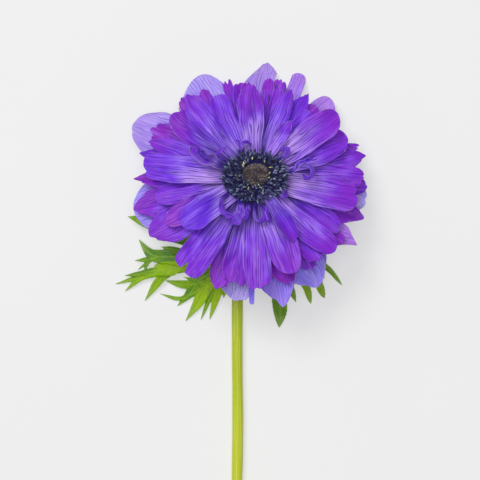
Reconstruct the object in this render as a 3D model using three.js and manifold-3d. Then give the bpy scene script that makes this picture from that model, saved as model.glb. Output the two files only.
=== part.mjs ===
// A semi-double anemone flower, cut with its stem and laid on its back: the stem lies along -Y,
// its neck bends up behind the head, and the face looks up (+Z). Millimetres, +Z up.
import * as THREE from 'three';
import { mergeVertices } from 'three/addons/utils/BufferGeometryUtils.js';
import Module from 'manifold-3d';

const wasm = await Module();
wasm.setup();

// Driving dimensions. The plan origin is the middle of the stamen ring, seen from above.
const FACE_RADIUS = 50;        // half the width of the open flower
const SEAT_HEIGHT = 19.9;      // height of the lowest sepal's foot above the table
const LEVEL_STEP = 1.1;        // rise from one leaf of the spiral to the next at its foot
const LEVEL_OPENING = 1.1;     // how much further two levels open out at the face radius
const DROOP = 6;               // how far the outer face falls below its foot
const LEAN_BACK = 0.27;        // slope of the face towards +Y, where its rim meets the table
const LEAN_SIDE = 0.05;        // slope of the face towards +X
const PETAL_THICKNESS = 0.6;
const PETAL_CUP = 0.08;        // rise of a petal's edges over its middle, as a part of its width
const SEPAL_CUP = 0.03;
const CLEARANCE = 0.3;         // gap kept between pieces that touch

const RECEPTACLE_RADIUS = 7.5;
const TOP_LEVEL = 8.7;         // level of the receptacle's top, above the last petal's foot
const STEM_RADIUS = 2.35;
const STEM_X = -7.7;           // the lying stem runs a little to the left of the head
const STEM_END_Y = -205;
const STEM_DRIFT = -1.2;       // sideways drift of the stem down to its cut end
const WHORL_Y = -35.5;         // where the three green leaves leave the stem

const PISTIL_RADIUS = 6;
const PISTIL_HEIGHT = 7;
const PISTIL_SHIFT = [0.9, 1.3];  // the pistils' middle from the ring's middle
const RING_INNER = 7.2;
const RING_OUTER = 15;
const RING_SQUASH = 0.79;      // the ring and the pistils are narrower from top to bottom
const RING_DEPTH = 3.2;

const LEAF_THICKNESS = 0.8;

const PETAL_STEPS = [4, 7];    // facets across and along a petal
const LOBE_STEPS = [2, 10];    // and a leaf lobe

// Height of the flower's face over a plan point, for one level of the petal spiral.
function faceHeight(x, y, level) {
  const out = Math.hypot(x, y) / FACE_RADIUS;
  const stack = level * (LEVEL_STEP + LEVEL_OPENING * out);
  return SEAT_HEIGHT + stack - DROOP * out * out - LEAN_BACK * y - LEAN_SIDE * x;
}

function clamp01(value) {
  return Math.min(Math.max(value, 0), 1);
}

function smooth(value) {
  const s = clamp01(value);
  return s * s * (3 - 2 * s);
}

// Bends a flat sheet: place(across -1..1, along 0..1) gives the middle surface as [x, y, z].
function bentSheet(acrossSteps, alongSteps, thickness, place) {
  const sheet = new THREE.BoxGeometry(2, 1, thickness, acrossSteps, alongSteps, 1);
  const position = sheet.attributes.position;
  for (let i = 0; i < position.count; i++) {
    const [x, y, z] = place(position.getX(i), position.getY(i) + 0.5);
    position.setXYZ(i, x, y, z + position.getZ(i));
  }
  return closedBody(sheet);
}

function closedBody(geometry) {
  geometry.deleteAttribute('uv');
  geometry.deleteAttribute('normal');
  const merged = mergeVertices(geometry, 1e-3);
  merged.computeVertexNormals();
  return merged;
}

function toSolid(geometry) {
  return new wasm.Manifold(new wasm.Mesh({
    numProp: 3,
    vertProperties: new Float32Array(geometry.attributes.position.array),
    triVerts: new Uint32Array(geometry.index.array),
  }));
}

function fromSolid(solid) {
  const mesh = solid.getMesh();
  const geometry = new THREE.BufferGeometry();
  geometry.setAttribute('position', new THREE.BufferAttribute(mesh.vertProperties, 3));
  geometry.setIndex(new THREE.BufferAttribute(mesh.triVerts, 1));
  geometry.computeVertexNormals();
  return geometry;
}

const flower = new THREE.Group();

function addPiece(name, geometry, color, roughness) {
  const material = new THREE.MeshStandardMaterial({ color, roughness, metalness: 0 });
  const piece = new THREE.Mesh(geometry, material);
  piece.name = name;
  flower.add(piece);
}

// One petal or sepal. It leaves the receptacle radially, is `claw` of its width there, widens
// to its full `width` and ends at `reach`. `tip` runs from -0.5 (square) through 0 (blunt) to
// 1 (pointed), and `bend` bows the middle line sideways.
function petalGeometry(leaf, cup) {
  const { angle, reach, width, level, tip = 0.3, claw = 0.45, bend = 0 } = leaf;
  const heading = THREE.MathUtils.degToRad(angle);
  const out = [Math.cos(heading), Math.sin(heading)];
  const side = [out[1], -out[0]];
  const foot = RECEPTACLE_RADIUS + CLEARANCE;
  const length = reach - foot;
  return bentSheet(...PETAL_STEPS, PETAL_THICKNESS, (across, t) => {
    const along = 1 - (1 - t) ** 1.25;
    const spread = claw + (1 - claw) * smooth(along / 0.65);
    const close = 1 - (0.35 + 0.5 * tip) * clamp01((along - 0.7) / 0.3) ** 2;
    const sideways = across * 0.5 * width * spread * close;
    const rounding = (0.12 + 0.12 * tip) * width * across ** 2 * along ** 6 * 2;
    const radius = foot + length * along - rounding;
    const offset = sideways + bend * (along * along - along);
    const x = out[0] * radius + side[0] * offset;
    const y = out[1] * radius + side[1] * offset;
    const rise = cup * sideways * sideways * 4 / width;
    return [x, y, faceHeight(x, y, level) + rise];
  });
}

// Sepals: the outermost, broadest and palest leaves of the face.
const SEPAL_COLOR = 0x9a8ee0;
const sepals = [
  { angle: 349, reach: 48.8, width: 21, level: 1.0, claw: 0.25 },
  { angle: 47, reach: 47.6, width: 12.5, level: 1.0, claw: 0.3 },
  { angle: 67, reach: 50.6, width: 9, level: 0, claw: 0.35 },
  { angle: 84, reach: 52.3, width: 15.5, level: 1.1, claw: 0.3, tip: 0.6 },
  { angle: 117, reach: 51.2, width: 20.5, level: 0.3, claw: 0.25, tip: 0.1 },
  { angle: 158, reach: 57.6, width: 20.5, level: 1.0, claw: 0.25, tip: 0.1 },
  { angle: 196, reach: 54.2, width: 22, level: 0.2, claw: 0.25, tip: 0.1 },
  { angle: 261, reach: 53.8, width: 19, level: 0, claw: 0.25 },
  { angle: 269, reach: 54.6, width: 2.6, level: 0.9, claw: 0.7 },
  { angle: 281, reach: 56.6, width: 15.5, level: 1.8, claw: 0.3, tip: 0.7 },
  { angle: 300, reach: 53.5, width: 21.5, level: 0.7, claw: 0.22, tip: -0.4 },
  { angle: 326, reach: 52.4, width: 8.5, level: 2.0, claw: 0.35, tip: 1 },
];

// Petals: narrower and deeper coloured, anticlockwise from +X.
const PETAL_COLOR = 0x6a36c8;
const petals = [
  { angle: 2, reach: 46.9, width: 10.7, level: 5.0 },
  { angle: 11, reach: 48.7, width: 9.5, level: 4.0, tip: 0.8 },
  { angle: 23, reach: 43.9, width: 9.5, level: 6.0 },
  { angle: 36, reach: 44.4, width: 11.2, level: 7.1, claw: 0.6 },
  { angle: 51, reach: 41.3, width: 8.6, level: 3.0 },
  { angle: 58, reach: 42.1, width: 7, level: 4.1, tip: 1 },
  { angle: 68, reach: 40.3, width: 7.7, level: 5.5, tip: 0.7 },
  { angle: 81, reach: 43.5, width: 5.2, level: 3.0, tip: 0.6 },
  { angle: 94, reach: 39.2, width: 11, level: 7.6, claw: 0.7 },
  { angle: 99, reach: 40.5, width: 4.7, level: 4.2, tip: 0 },
  { angle: 105, reach: 43.4, width: 4, level: 2.2, tip: 0 },
  { angle: 115, reach: 37.9, width: 8.6, level: 6.5, claw: 0.55, bend: 4 },
  { angle: 120, reach: 44.5, width: 5, level: 3.4 },
  { angle: 129, reach: 43.1, width: 9.5, level: 5.5, bend: 5 },
  { angle: 131, reach: 48.6, width: 8, level: 2.4 },
  { angle: 140, reach: 44.4, width: 9.5, level: 4.4 },
  { angle: 156, reach: 50.8, width: 10.3, level: 3.4, claw: 0.3 },
  { angle: 163, reach: 49.0, width: 7, level: 5.1, tip: 0.9 },
  { angle: 168, reach: 51.9, width: 6, level: 2.3, tip: 1 },
  { angle: 175, reach: 47.9, width: 10.5, level: 6.8, claw: 0.6 },
  { angle: 180, reach: 52.0, width: 7, level: 3.7, tip: 1, claw: 0.35 },
  { angle: 193, reach: 42.8, width: 7.7, level: 5.2 },
  { angle: 195, reach: 54.2, width: 10.7, level: 2.4 },
  { angle: 210, reach: 42.2, width: 7.7, level: 6.2 },
  { angle: 212, reach: 49.3, width: 15.5, level: 3.8, claw: 0.3 },
  { angle: 213, reach: 36.4, width: 12, level: 7.8, claw: 0.6 },
  { angle: 232, reach: 50.2, width: 13.4, level: 5.0, tip: -0.5 },
  { angle: 252, reach: 50.2, width: 10.3, level: 2.8 },
  { angle: 258, reach: 45.8, width: 7.7, level: 4.1 },
  { angle: 264, reach: 46.3, width: 5.2, level: 5.9 },
  { angle: 271, reach: 47.7, width: 10.9, level: 7.0, claw: 0.6 },
  { angle: 287, reach: 47.3, width: 10, level: 4.0 },
  { angle: 290, reach: 43.1, width: 11.2, level: 8.0, claw: 0.5 },
  { angle: 302, reach: 45.8, width: 8.6, level: 2.9 },
  { angle: 307, reach: 43.9, width: 7.7, level: 5.3 },
  { angle: 317, reach: 45.5, width: 8.6, level: 7.0, bend: -5 },
  { angle: 320, reach: 48.0, width: 8, level: 4.1, bend: -5 },
  { angle: 340, reach: 49.0, width: 9.5, level: 3.2, tip: 0.8 },
  { angle: 345, reach: 45.9, width: 11, level: 6.0 },
  { angle: 353, reach: 47.6, width: 7, level: 2.2 },
];

function addWhorl(prefix, whorl, cup, color) {
  whorl.forEach((leaf, index) => {
    const name = prefix + '_' + String(index + 1).padStart(2, '0');
    addPiece(name, petalGeometry(leaf, cup), color, 0.6);
  });
}

addWhorl('sepal', sepals, SEPAL_CUP, SEPAL_COLOR);
addWhorl('petal', petals, PETAL_CUP, PETAL_COLOR);

// Leans a turned piece with the face, so that it stands over the receptacle.
function leanWithFace(geometry) {
  const position = geometry.attributes.position;
  for (let i = 0; i < position.count; i++) {
    const lean = LEAN_BACK * position.getY(i) + LEAN_SIDE * position.getX(i);
    position.setZ(i, position.getZ(i) - lean);
  }
  return geometry;
}

function turned(profile, segments) {
  const geometry = new THREE.LatheGeometry(profile.map((p) => new THREE.Vector2(...p)), segments);
  return geometry.rotateX(Math.PI / 2);
}

// Stem: a neck that bends from under the head down to the table, then a straight run to the
// cut; the receptacle that carries the petals is its swollen top.
const receptacleBottom = SEAT_HEIGHT - 1;
const receptacleTop = faceHeight(0, 0, TOP_LEVEL);

function receptacleGeometry() {
  const profile = [
    [0, receptacleTop],
    [RECEPTACLE_RADIUS, receptacleTop],
    [RECEPTACLE_RADIUS, receptacleBottom],
    [STEM_RADIUS * 1.5, receptacleBottom - 2.6],
    [0, receptacleBottom - 2.6],
  ].reverse();
  return closedBody(leanWithFace(turned(profile, 28)));
}

function stemGeometry() {
  const route = new THREE.CatmullRomCurve3([
    new THREE.Vector3(0, 0.4, receptacleBottom),
    new THREE.Vector3(-0.4, -2.2, receptacleBottom - 6),
    new THREE.Vector3(-2.6, -8.5, 6.6),
    new THREE.Vector3(-5.6, -18.5, STEM_RADIUS + 0.6),
    new THREE.Vector3(STEM_X, WHORL_Y, STEM_RADIUS),
    new THREE.Vector3(STEM_X + STEM_DRIFT * 0.3, -80, STEM_RADIUS),
    new THREE.Vector3(STEM_X + STEM_DRIFT * 0.7, -145, STEM_RADIUS),
    new THREE.Vector3(STEM_X + STEM_DRIFT, STEM_END_Y, STEM_RADIUS),
  ]);
  const section = new THREE.Shape().absarc(0, 0, STEM_RADIUS, 0, 2 * Math.PI);
  const stem = new THREE.ExtrudeGeometry(section, { steps: 44, curveSegments: 5, extrudePath: route });
  return closedBody(stem);
}

const stem = toSolid(stemGeometry()).add(toSolid(receptacleGeometry()));
addPiece('stem', fromSolid(stem), 0xa9bb3a, 0.55);

// Pistils: the packed dome in the middle, seated on the receptacle.
function pistilGeometry() {
  const profile = [[0, 0]];
  for (let i = 0; i <= 8; i++) {
    const a = (i / 8) * Math.PI / 2;
    profile.push([PISTIL_RADIUS * Math.cos(a) ** 0.8, PISTIL_HEIGHT * Math.sin(a)]);
  }
  profile[profile.length - 1][0] = 0;
  const dome = turned(profile, 24);
  dome.scale(1, RING_SQUASH, 1);
  dome.translate(PISTIL_SHIFT[0], PISTIL_SHIFT[1], receptacleTop + CLEARANCE);
  return closedBody(leanWithFace(dome));
}
addPiece('pistil_dome', pistilGeometry(), 0x4a4048, 0.8);

// Stamens: one crowded ring around the pistils, lying over the petals' feet.
function stamenGeometry() {
  const bottom = faceHeight(0, 0, TOP_LEVEL) + CLEARANCE;
  const rise = LEVEL_OPENING * TOP_LEVEL / FACE_RADIUS;
  const profile = [
    [RING_INNER, bottom + rise * RING_INNER * 0.2],
    [RING_OUTER, bottom + rise * RING_OUTER],
    [RING_OUTER, bottom + rise * RING_OUTER + RING_DEPTH * 0.5],
    [RING_OUTER * 0.8, bottom + rise * RING_OUTER + RING_DEPTH],
    [RING_INNER * 1.15, bottom + RING_DEPTH],
    [RING_INNER, bottom + RING_DEPTH * 0.6],
    [RING_INNER, bottom + rise * RING_INNER * 0.2],
  ];
  const ring = turned(profile, 36);
  ring.scale(1, RING_SQUASH, 1);
  const position = ring.attributes.position;
  for (let i = 0; i < position.count; i++) {
    const radius = Math.hypot(position.getX(i), position.getY(i) / RING_SQUASH);
    const inward = (RING_OUTER - radius) / (RING_OUTER - RING_INNER);
    position.setX(i, position.getX(i) + PISTIL_SHIFT[0] * inward);
    position.setY(i, position.getY(i) + PISTIL_SHIFT[1] * inward);
  }
  return closedBody(leanWithFace(ring));
}
addPiece('stamen_ring', stamenGeometry(), 0x1c2140, 0.8);

// Green leaves of the whorl: each is a fan of narrow lobes joined at the foot. A lobe runs
// through its [x, y, z] points and is `width` across at its middle.
function lobeSolid({ points, width }) {
  const path = new THREE.CatmullRomCurve3(points.map((p) => new THREE.Vector3(...p)));
  const across = new THREE.Vector3();
  const up = new THREE.Vector3(0, 0, 1);
  return toSolid(bentSheet(...LOBE_STEPS, LEAF_THICKNESS, (v, t) => {
    const centre = path.getPoint(t);
    across.crossVectors(path.getTangent(t), up).normalize();
    const taper = 0.55 + 0.45 * smooth(t / 0.4) - 0.85 * clamp01((t - 0.45) / 0.55) ** 1.7;
    const half = 0.5 * width * taper;
    return [centre.x + across.x * v * half, centre.y + across.y * v * half, centre.z];
  }));
}

function leafGeometry(lobes) {
  return fromSolid(lobes.map(lobeSolid).reduce((leaf, lobe) => leaf.add(lobe)));
}

const leaves = {
  leaf_left: [
    { points: [[-11, -36, 3.6], [-28, -38.5, 4.6], [-42, -41, 2.6], [-62.4, -46, 0.5]], width: 5.4 },
    { points: [[-26, -37, 4.4], [-37, -35, 5], [-45, -34, 4.4], [-51, -27, 3]], width: 6.4 },
    { points: [[-36, -39.5, 3.8], [-45, -43.5, 2.2], [-57, -50.4, 0.5]], width: 3.2 },
    { points: [[-35, -40, 3.6], [-42, -45, 2.2], [-49, -54.6, 0.5]], width: 3.4 },
    { points: [[-43, -35, 4.4], [-48, -38, 3.2], [-54, -36.6, 2.2]], width: 1.4 },
    { points: [[-42, -35.5, 4.4], [-47, -38, 2.8], [-52.6, -40.8, 1.4]], width: 1.4 },
    { points: [[-26, -36, 4.6], [-34, -32, 5.6], [-42, -30, 5]], width: 3 },
    { points: [[-13, -34.5, 4], [-32, -26, 6], [-56.4, -17, 4.4]], width: 3.6 },
    { points: [[-24, -31, 5], [-34, -27.5, 5.4], [-44, -27, 4]], width: 2.4 },
  ],
  leaf_lower: [
    { points: [[-12, -37.5, 1.4], [-19, -43, 2.2], [-23.4, -54, 1.8], [-30, -63.2, 0.5]], width: 5.6 },
    { points: [[-14, -39, 1.6], [-24, -44.5, 2.2], [-28, -50.5, 1.6], [-34.6, -56.8, 0.5]], width: 4.8 },
    { points: [[-16, -40, 1.8], [-19.4, -50, 1.8], [-24, -63.4, 0.5]], width: 3 },
    { points: [[-14, -40, 1.8], [-16, -50, 1.8], [-19.8, -63, 0.5]], width: 3.2 },
    { points: [[-12.5, -39, 1.6], [-13.4, -46, 2], [-14.5, -53, 1.2]], width: 4 },
    { points: [[-20, -44, 1.8], [-28, -44.6, 1.6], [-38.4, -44.8, 0.8]], width: 3 },
    { points: [[-24, -48, 1.8], [-33, -53, 1.2], [-42.6, -50.6, 0.6]], width: 1.6 },
    { points: [[-20, -44, 1.9], [-19.5, -40, 2.4], [-18.8, -36.5, 2.6]], width: 3.4 },
  ],
  leaf_right: [
    { points: [[-4.4, -36, 2.2], [4, -42, 3], [9, -54, 2], [11, -66.4, 0.5]], width: 5.6 },
    { points: [[-4.4, -36, 2.2], [8, -42, 3], [14, -49, 2], [18.6, -55.6, 0.8]], width: 3.2 },
    { points: [[6, -42, 2.8], [11.8, -51, 1.8], [14.4, -60, 0.8]], width: 1.8 },
    { points: [[-4.4, -35, 2.4], [12, -40, 3.2], [20.4, -47, 2], [24.8, -55.4, 0.6]], width: 3.4 },
    { points: [[-4.4, -35, 2.4], [14, -38, 3.4], [25, -45, 2], [31, -53, 0.6]], width: 4.4 },
    { points: [[-4.4, -34.5, 2.4], [16, -34, 4], [29, -38, 3], [38.4, -47.4, 0.8]], width: 2.6 },
    { points: [[16, -38.5, 3], [24, -42, 2.4], [31.8, -44, 1.4]], width: 2.4 },
  ],
};
for (const [name, lobes] of Object.entries(leaves)) {
  addPiece(name, leafGeometry(lobes), 0x6f9620, 0.55);
}

// The finished flower stands over the middle of its own box, with the table at z = 0.
const box = new THREE.Box3().setFromObject(flower);
flower.position.set(-(box.min.x + box.max.x) / 2, -(box.min.y + box.max.y) / 2, -box.min.z);

export default flower;
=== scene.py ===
import math
import bmesh
import bpy
import numpy as np
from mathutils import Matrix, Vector
from mathutils.kdtree import KDTree


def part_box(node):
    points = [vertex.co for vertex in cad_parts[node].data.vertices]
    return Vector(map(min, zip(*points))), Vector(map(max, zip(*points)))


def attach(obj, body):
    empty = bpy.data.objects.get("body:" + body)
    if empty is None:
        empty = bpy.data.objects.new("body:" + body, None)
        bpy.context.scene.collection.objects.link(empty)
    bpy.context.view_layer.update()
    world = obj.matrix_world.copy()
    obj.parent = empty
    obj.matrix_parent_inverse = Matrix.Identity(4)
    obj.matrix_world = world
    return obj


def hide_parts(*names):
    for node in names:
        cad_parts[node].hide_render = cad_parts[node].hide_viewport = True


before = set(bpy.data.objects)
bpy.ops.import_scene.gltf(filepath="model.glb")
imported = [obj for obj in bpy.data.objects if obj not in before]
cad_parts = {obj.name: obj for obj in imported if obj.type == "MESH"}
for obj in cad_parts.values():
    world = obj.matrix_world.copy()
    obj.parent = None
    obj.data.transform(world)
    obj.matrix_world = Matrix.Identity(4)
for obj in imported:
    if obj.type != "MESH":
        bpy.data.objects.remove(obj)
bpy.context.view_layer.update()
MM = 0.001


# ---- Stem and receptacle -------------------------------------------------------------------
# The cut flower lies on the table: a juicy, faintly ribbed green stem that bends up behind the
# head and swells into the receptacle, the knob that every sepal and petal is fixed to.
ring_low, ring_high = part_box("stamen_ring")
face_x = (ring_low.x + ring_high.x) / 2 / MM
face_y = (ring_low.y + ring_high.y) / 2 / MM
table_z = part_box("stem")[0].z / MM
FACE_MIDDLE = np.array([face_x, face_y, table_z])

FACE_RADIUS = 50
SEAT_HEIGHT = 19.9
LEVEL_STEP = 1.1
LEVEL_OPENING = 1.1
DROOP = 6
LEAN_BACK = 0.27
LEAN_SIDE = 0.05
STEM_RADIUS = 2.35


def face_height(x, y, level):
    """Height of the open face over a plan point in mm from its middle, at a petal level."""
    out = np.hypot(x, y) / FACE_RADIUS
    stack = level * (LEVEL_STEP + LEVEL_OPENING * out)
    return SEAT_HEIGHT + stack - DROOP * out**2 - LEAN_BACK * y - LEAN_SIDE * x


def smooth(value):
    s = np.clip(value, 0, 1)
    return s * s * (3 - 2 * s)


def unit(vectors):
    return vectors / np.maximum(np.linalg.norm(vectors, axis=-1, keepdims=True), 1e-9)


def smooth_route(points, count):
    """Points in step along a smooth curve through the given ones."""
    knots = np.array(points, float)
    knots = np.vstack([2 * knots[0] - knots[1], knots, 2 * knots[-1] - knots[-2]])
    spans = len(knots) - 3
    place_on = np.linspace(0, spans, count)
    span = np.minimum(place_on.astype(int), spans - 1)
    t = (place_on - span)[:, None]
    a, b, c, d = (knots[span + k] for k in range(4))
    return b + 0.5 * t * (c - a + t * (2 * a - 5 * b + 4 * c - d + t * (3 * b - a - 3 * c + d)))


def write_marks(mesh, marks):
    """Puts named numbers or vectors on the points of a mesh, for its finish to read."""
    for key, values in marks.items():
        values = np.asarray(values, np.float32).reshape(len(mesh.vertices), -1)
        kind, field = ("FLOAT_VECTOR", "vector") if values.shape[1] == 3 else ("FLOAT", "value")
        mesh.attributes.new(key, kind, "POINT").data.foreach_set(field, values.ravel())


def to_frame(points):
    """Points in mm from the middle of the face, on the table, as metres in the frame."""
    return (points + FACE_MIDDLE) * MM


def solid_mesh(name, points, faces, marks):
    """A closed mesh, faces outwards, from points in mm from the middle of the face."""
    mesh = bpy.data.meshes.new(name)
    mesh.from_pydata(to_frame(points).tolist(), [], faces)
    shell = bmesh.new()
    shell.from_mesh(mesh)
    bmesh.ops.recalc_face_normals(shell, faces=shell.faces)
    shell.to_mesh(mesh)
    shell.free()
    write_marks(mesh, marks)
    mesh.shade_smooth()
    return mesh


def wrapped_faces(rows, columns, closed_rows=False):
    """Quads of a skin whose columns go all the way round, with its two ends closed."""
    faces = []
    for row in range(rows if closed_rows else rows - 1):
        here, there = row * columns, (row + 1) % rows * columns
        for k in range(columns):
            after = (k + 1) % columns
            faces.append((here + k, here + after, there + after, there + k))
    if not closed_rows:
        faces.append(tuple(range(columns)))
        faces.append(tuple(range((rows - 1) * columns, rows * columns)))
    return faces


def scene_object(name, data):
    """A new object in the scene, made of a mesh, a camera or a light."""
    thing = bpy.data.objects.new(name, data)
    bpy.context.scene.collection.objects.link(thing)
    return thing


def place(name, mesh, material, slot, *nodes):
    """Puts a finished mesh in the scene and seats it on the flower's one body."""
    piece = scene_object(name, mesh)
    if not mesh.materials:
        mesh.materials.append(material)
    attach(piece, "root")
    if nodes:
        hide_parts(*nodes)


def rgb(red, green, blue):
    """A display colour out of 255 as the linear colour that shaders take."""
    channels = np.array([red, green, blue]) / 255
    linear = np.where(channels <= 0.04045, channels / 12.92, ((channels + 0.055) / 1.055) ** 2.4)
    return (*linear.tolist(), 1.0)


class Nodes:
    """Short forms for wiring a node tree."""

    def __init__(self, tree):
        self.tree = tree

    def add(self, kind, values=None, **settings):
        node = self.tree.nodes.new(kind)
        for key, value in settings.items():
            setattr(node, key, value)
        for key, value in (values or {}).items():
            if isinstance(value, bpy.types.NodeSocket):
                self.tree.links.new(value, node.inputs[key])
            else:
                node.inputs[key].default_value = value
        return node

    def math(self, operation, a, b=0.0):
        return self.add("ShaderNodeMath", {0: a, 1: b}, operation=operation).outputs[0]

    def plus(self, a, b):
        return self.math("ADD", a, b)

    def minus(self, a, b):
        return self.math("SUBTRACT", a, b)

    def times(self, a, b):
        return self.math("MULTIPLY", a, b)

    def vector(self, operation, a, b=(0, 0, 0)):
        return self.add("ShaderNodeVectorMath", {0: a, 1: b}, operation=operation).outputs[0]

    def blend(self, factor, a, b):
        return self.add("ShaderNodeMix", {0: factor, 6: a, 7: b}, data_type="RGBA").outputs[2]

    def range(self, value, low, high, to_low=0.0, to_high=1.0):
        values = {0: value, 1: low, 2: high, 3: to_low, 4: to_high}
        return self.add("ShaderNodeMapRange", values, interpolation_type="SMOOTHSTEP").outputs[0]

    def ramp(self, value, stops):
        node = self.add("ShaderNodeValToRGB", {0: value})
        while len(node.color_ramp.elements) < len(stops):
            node.color_ramp.elements.new(0.5)
        for element, (position, color) in zip(node.color_ramp.elements, stops):
            element.position = position
            element.color = rgb(*color)
        return node.outputs[0]

    def noise(self, vector, scale, detail=2.0):
        values = {"Vector": vector, "Scale": scale, "Detail": detail}
        return self.add("ShaderNodeTexNoise", values).outputs[0]

    def attribute(self, name, output="Fac"):
        return self.add("ShaderNodeAttribute", attribute_name=name).outputs[output]

    def object_place(self):
        return self.add("ShaderNodeTexCoord").outputs["Object"]

    def combine(self, x, y, z):
        return self.add("ShaderNodeCombineXYZ", {0: x, 1: y, 2: z}).outputs[0]

    def separate(self, vector):
        return self.add("ShaderNodeSeparateXYZ", {0: vector}).outputs

    def bump(self, height, depth, strength=1.0):
        values = {"Height": height, "Distance": depth * MM, "Strength": strength}
        return self.add("ShaderNodeBump", values).outputs[0]


def new_finish(name, roughness, subsurface=0.0, radius=(1, 1, 1), depth=1.0, sheen=0.0):
    """A material, its wiring helper and its shader, with what is the same all over it set."""
    material = bpy.data.materials.new(name)
    material.use_nodes = True
    shader = material.node_tree.nodes["Principled BSDF"].inputs
    shader["Roughness"].default_value = roughness
    shader["Specular IOR Level"].default_value = 0.35
    shader["Subsurface Weight"].default_value = subsurface
    shader["Subsurface Radius"].default_value = radius
    shader["Subsurface Scale"].default_value = depth * MM
    shader["Sheen Weight"].default_value = sheen
    shader["Sheen Roughness"].default_value = 0.4
    return material, Nodes(material.node_tree), shader


def coat(n, shader, color, relief=None):
    """Leads a finish's colour, and its relief if it has one, to its shader."""
    n.tree.links.new(color, shader["Base Color"])
    if relief:
        n.tree.links.new(relief, shader["Normal"])


stem_skin, n, shader = new_finish("stem skin", 0.42, 0.2, (1.0, 1.2, 0.4), 1.0, 0.1)
around, down, cut = n.separate(n.attribute("skin", "Vector"))[:3]
stretched = n.times(down, 0.035)
streaks = n.noise(n.combine(n.times(around, 3.2), stretched, 0.0), 1.0, 3.0)
patches = n.noise(n.combine(around, stretched, 4.0), 1.0)
color = n.ramp(
    n.range(down, 10.0, 225.0),
    [
        (0.0, (150, 178, 60)),
        (0.25, (176, 190, 34)),
        (0.6, (190, 200, 36)),
        (1.0, (200, 210, 62)),
    ],
)
color = n.blend(n.range(patches, 0.4, 0.65, 0.0, 0.5), color, rgb(172, 196, 36))
color = n.blend(n.range(streaks, 0.5, 0.62, 0.0, 0.45), color, rgb(210, 216, 96))
color = n.blend(n.range(streaks, 0.48, 0.36, 0.0, 0.3), color, rgb(166, 172, 26))
pith = n.blend(n.range(streaks, 0.35, 0.65), rgb(206, 214, 150), rgb(168, 186, 100))
color = n.blend(n.range(cut, 0.2, 0.6), color, pith)
color = n.blend(n.range(cut, 0.0, -0.8), color, rgb(52, 16, 118))
coat(n, shader, color, n.bump(streaks, 0.25, 0.5))

STEM_ROWS = 230
STEM_AROUND = 32
STEM_RIBS = 8
SKIN_SWELL = 1.02
stem_route = smooth_route(
    [
        (0.3, 2.0, 24.5), (0, 0.4, 18.9), (-0.4, -2.2, 12.9), (-2.6, -8.5, 6.6), (-5.6, -18.5, 3.0),
        (-7.3, -35.5, 2.48), (-7.6, -55, 2.48), (-7.7, -80, 2.48), (-7.45, -112, 2.48),
        (-8.1, -145, 2.48), (-9.1, -178, 2.48), (-8.9, -204.5, 2.48),
    ],
    STEM_ROWS,
)
heading = unit(np.gradient(stem_route, axis=0))
side = unit(np.cross(heading, [1.0, 0.0, 0.0]))
front = np.cross(side, heading)
steps = np.linalg.norm(np.diff(stem_route, axis=0), axis=1)
down_stem = np.concatenate([[0], np.cumsum(steps)])
neck = 1 + 0.55 * smooth((22 - down_stem) / 18)
swell = 1 + 0.018 * np.sin(down_stem / 9.0) + 0.012 * np.sin(down_stem / 3.7 + 1.0)
turn = np.linspace(0, 2 * math.pi, STEM_AROUND, endpoint=False)
ribs = 1 + 0.012 * np.cos(STEM_RIBS * turn)
rings = []
marks = []
for k in range(STEM_ROWS):
    spokes = np.cos(turn)[:, None] * front[k] + np.sin(turn)[:, None] * side[k]
    radius = SKIN_SWELL * STEM_RADIUS * neck[k] * swell[k]
    rings.append(stem_route[k] + radius * ribs[:, None] * spokes)
    marks += [(a, down_stem[k], 0.0) for a in turn]
# The clean cut as (share of the radius, mm past the end, 1 on the pith): a rounded rim, a
# slightly sunken pith and a small hollow.
cut_rings = [(0.95, 0.12, 0), (0.87, 0.14, 1), (0.6, 0.0, 1), (0.24, -0.1, 1), (0.16, -1.2, 1)]
last_spokes = rings[-1] - stem_route[-1]
for share, depth, on_pith in cut_rings:
    rings.append(stem_route[-1] + depth * heading[-1] + last_spokes * share)
    marks += [(a * share, down_stem[-1], on_pith) for a in turn]
faces = wrapped_faces(len(rings), STEM_AROUND)
stem_mesh = solid_mesh("stem", np.concatenate(rings), faces, {"skin": marks})
place("stem_skin", stem_mesh, stem_skin, "stem", "stem")

# (radius, 0, height) of the leaned knob, from the neck up to the seat of the pistils.
KNOB_ROWS = 40
KNOB_AROUND = 64
VIOLET_FROM = 21
knob = smooth_route(
    [
        (0.3, 0, 15.4), (3.0, 0, 15.7), (5.2, 0, 17.0), (6.8, 0, 18.8), (7.5, 0, 21.0), (7.55, 0, 25.0),
        (7.3, 0, 28.0), (6.6, 0, 29.2), (4.6, 0, 29.7), (0.3, 0, 29.9),
    ],
    KNOB_ROWS,
)
turn = np.linspace(0, 2 * math.pi, KNOB_AROUND, endpoint=False)
x = knob[:, :1] * np.cos(turn)
y = knob[:, :1] * np.sin(turn)
z = knob[:, 2:] - LEAN_BACK * y - LEAN_SIDE * x
violet = smooth((knob[:, 2:] - VIOLET_FROM) / 4)
marks = np.stack(np.broadcast_arrays(turn, 12 - 0.3 * z, -violet), -1)
points = np.stack([x, y, z], -1).reshape(-1, 3)
knob_mesh = solid_mesh("receptacle", points, wrapped_faces(KNOB_ROWS, KNOB_AROUND), {"skin": marks})
place("receptacle", knob_mesh, stem_skin, "stem", "stem")


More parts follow.
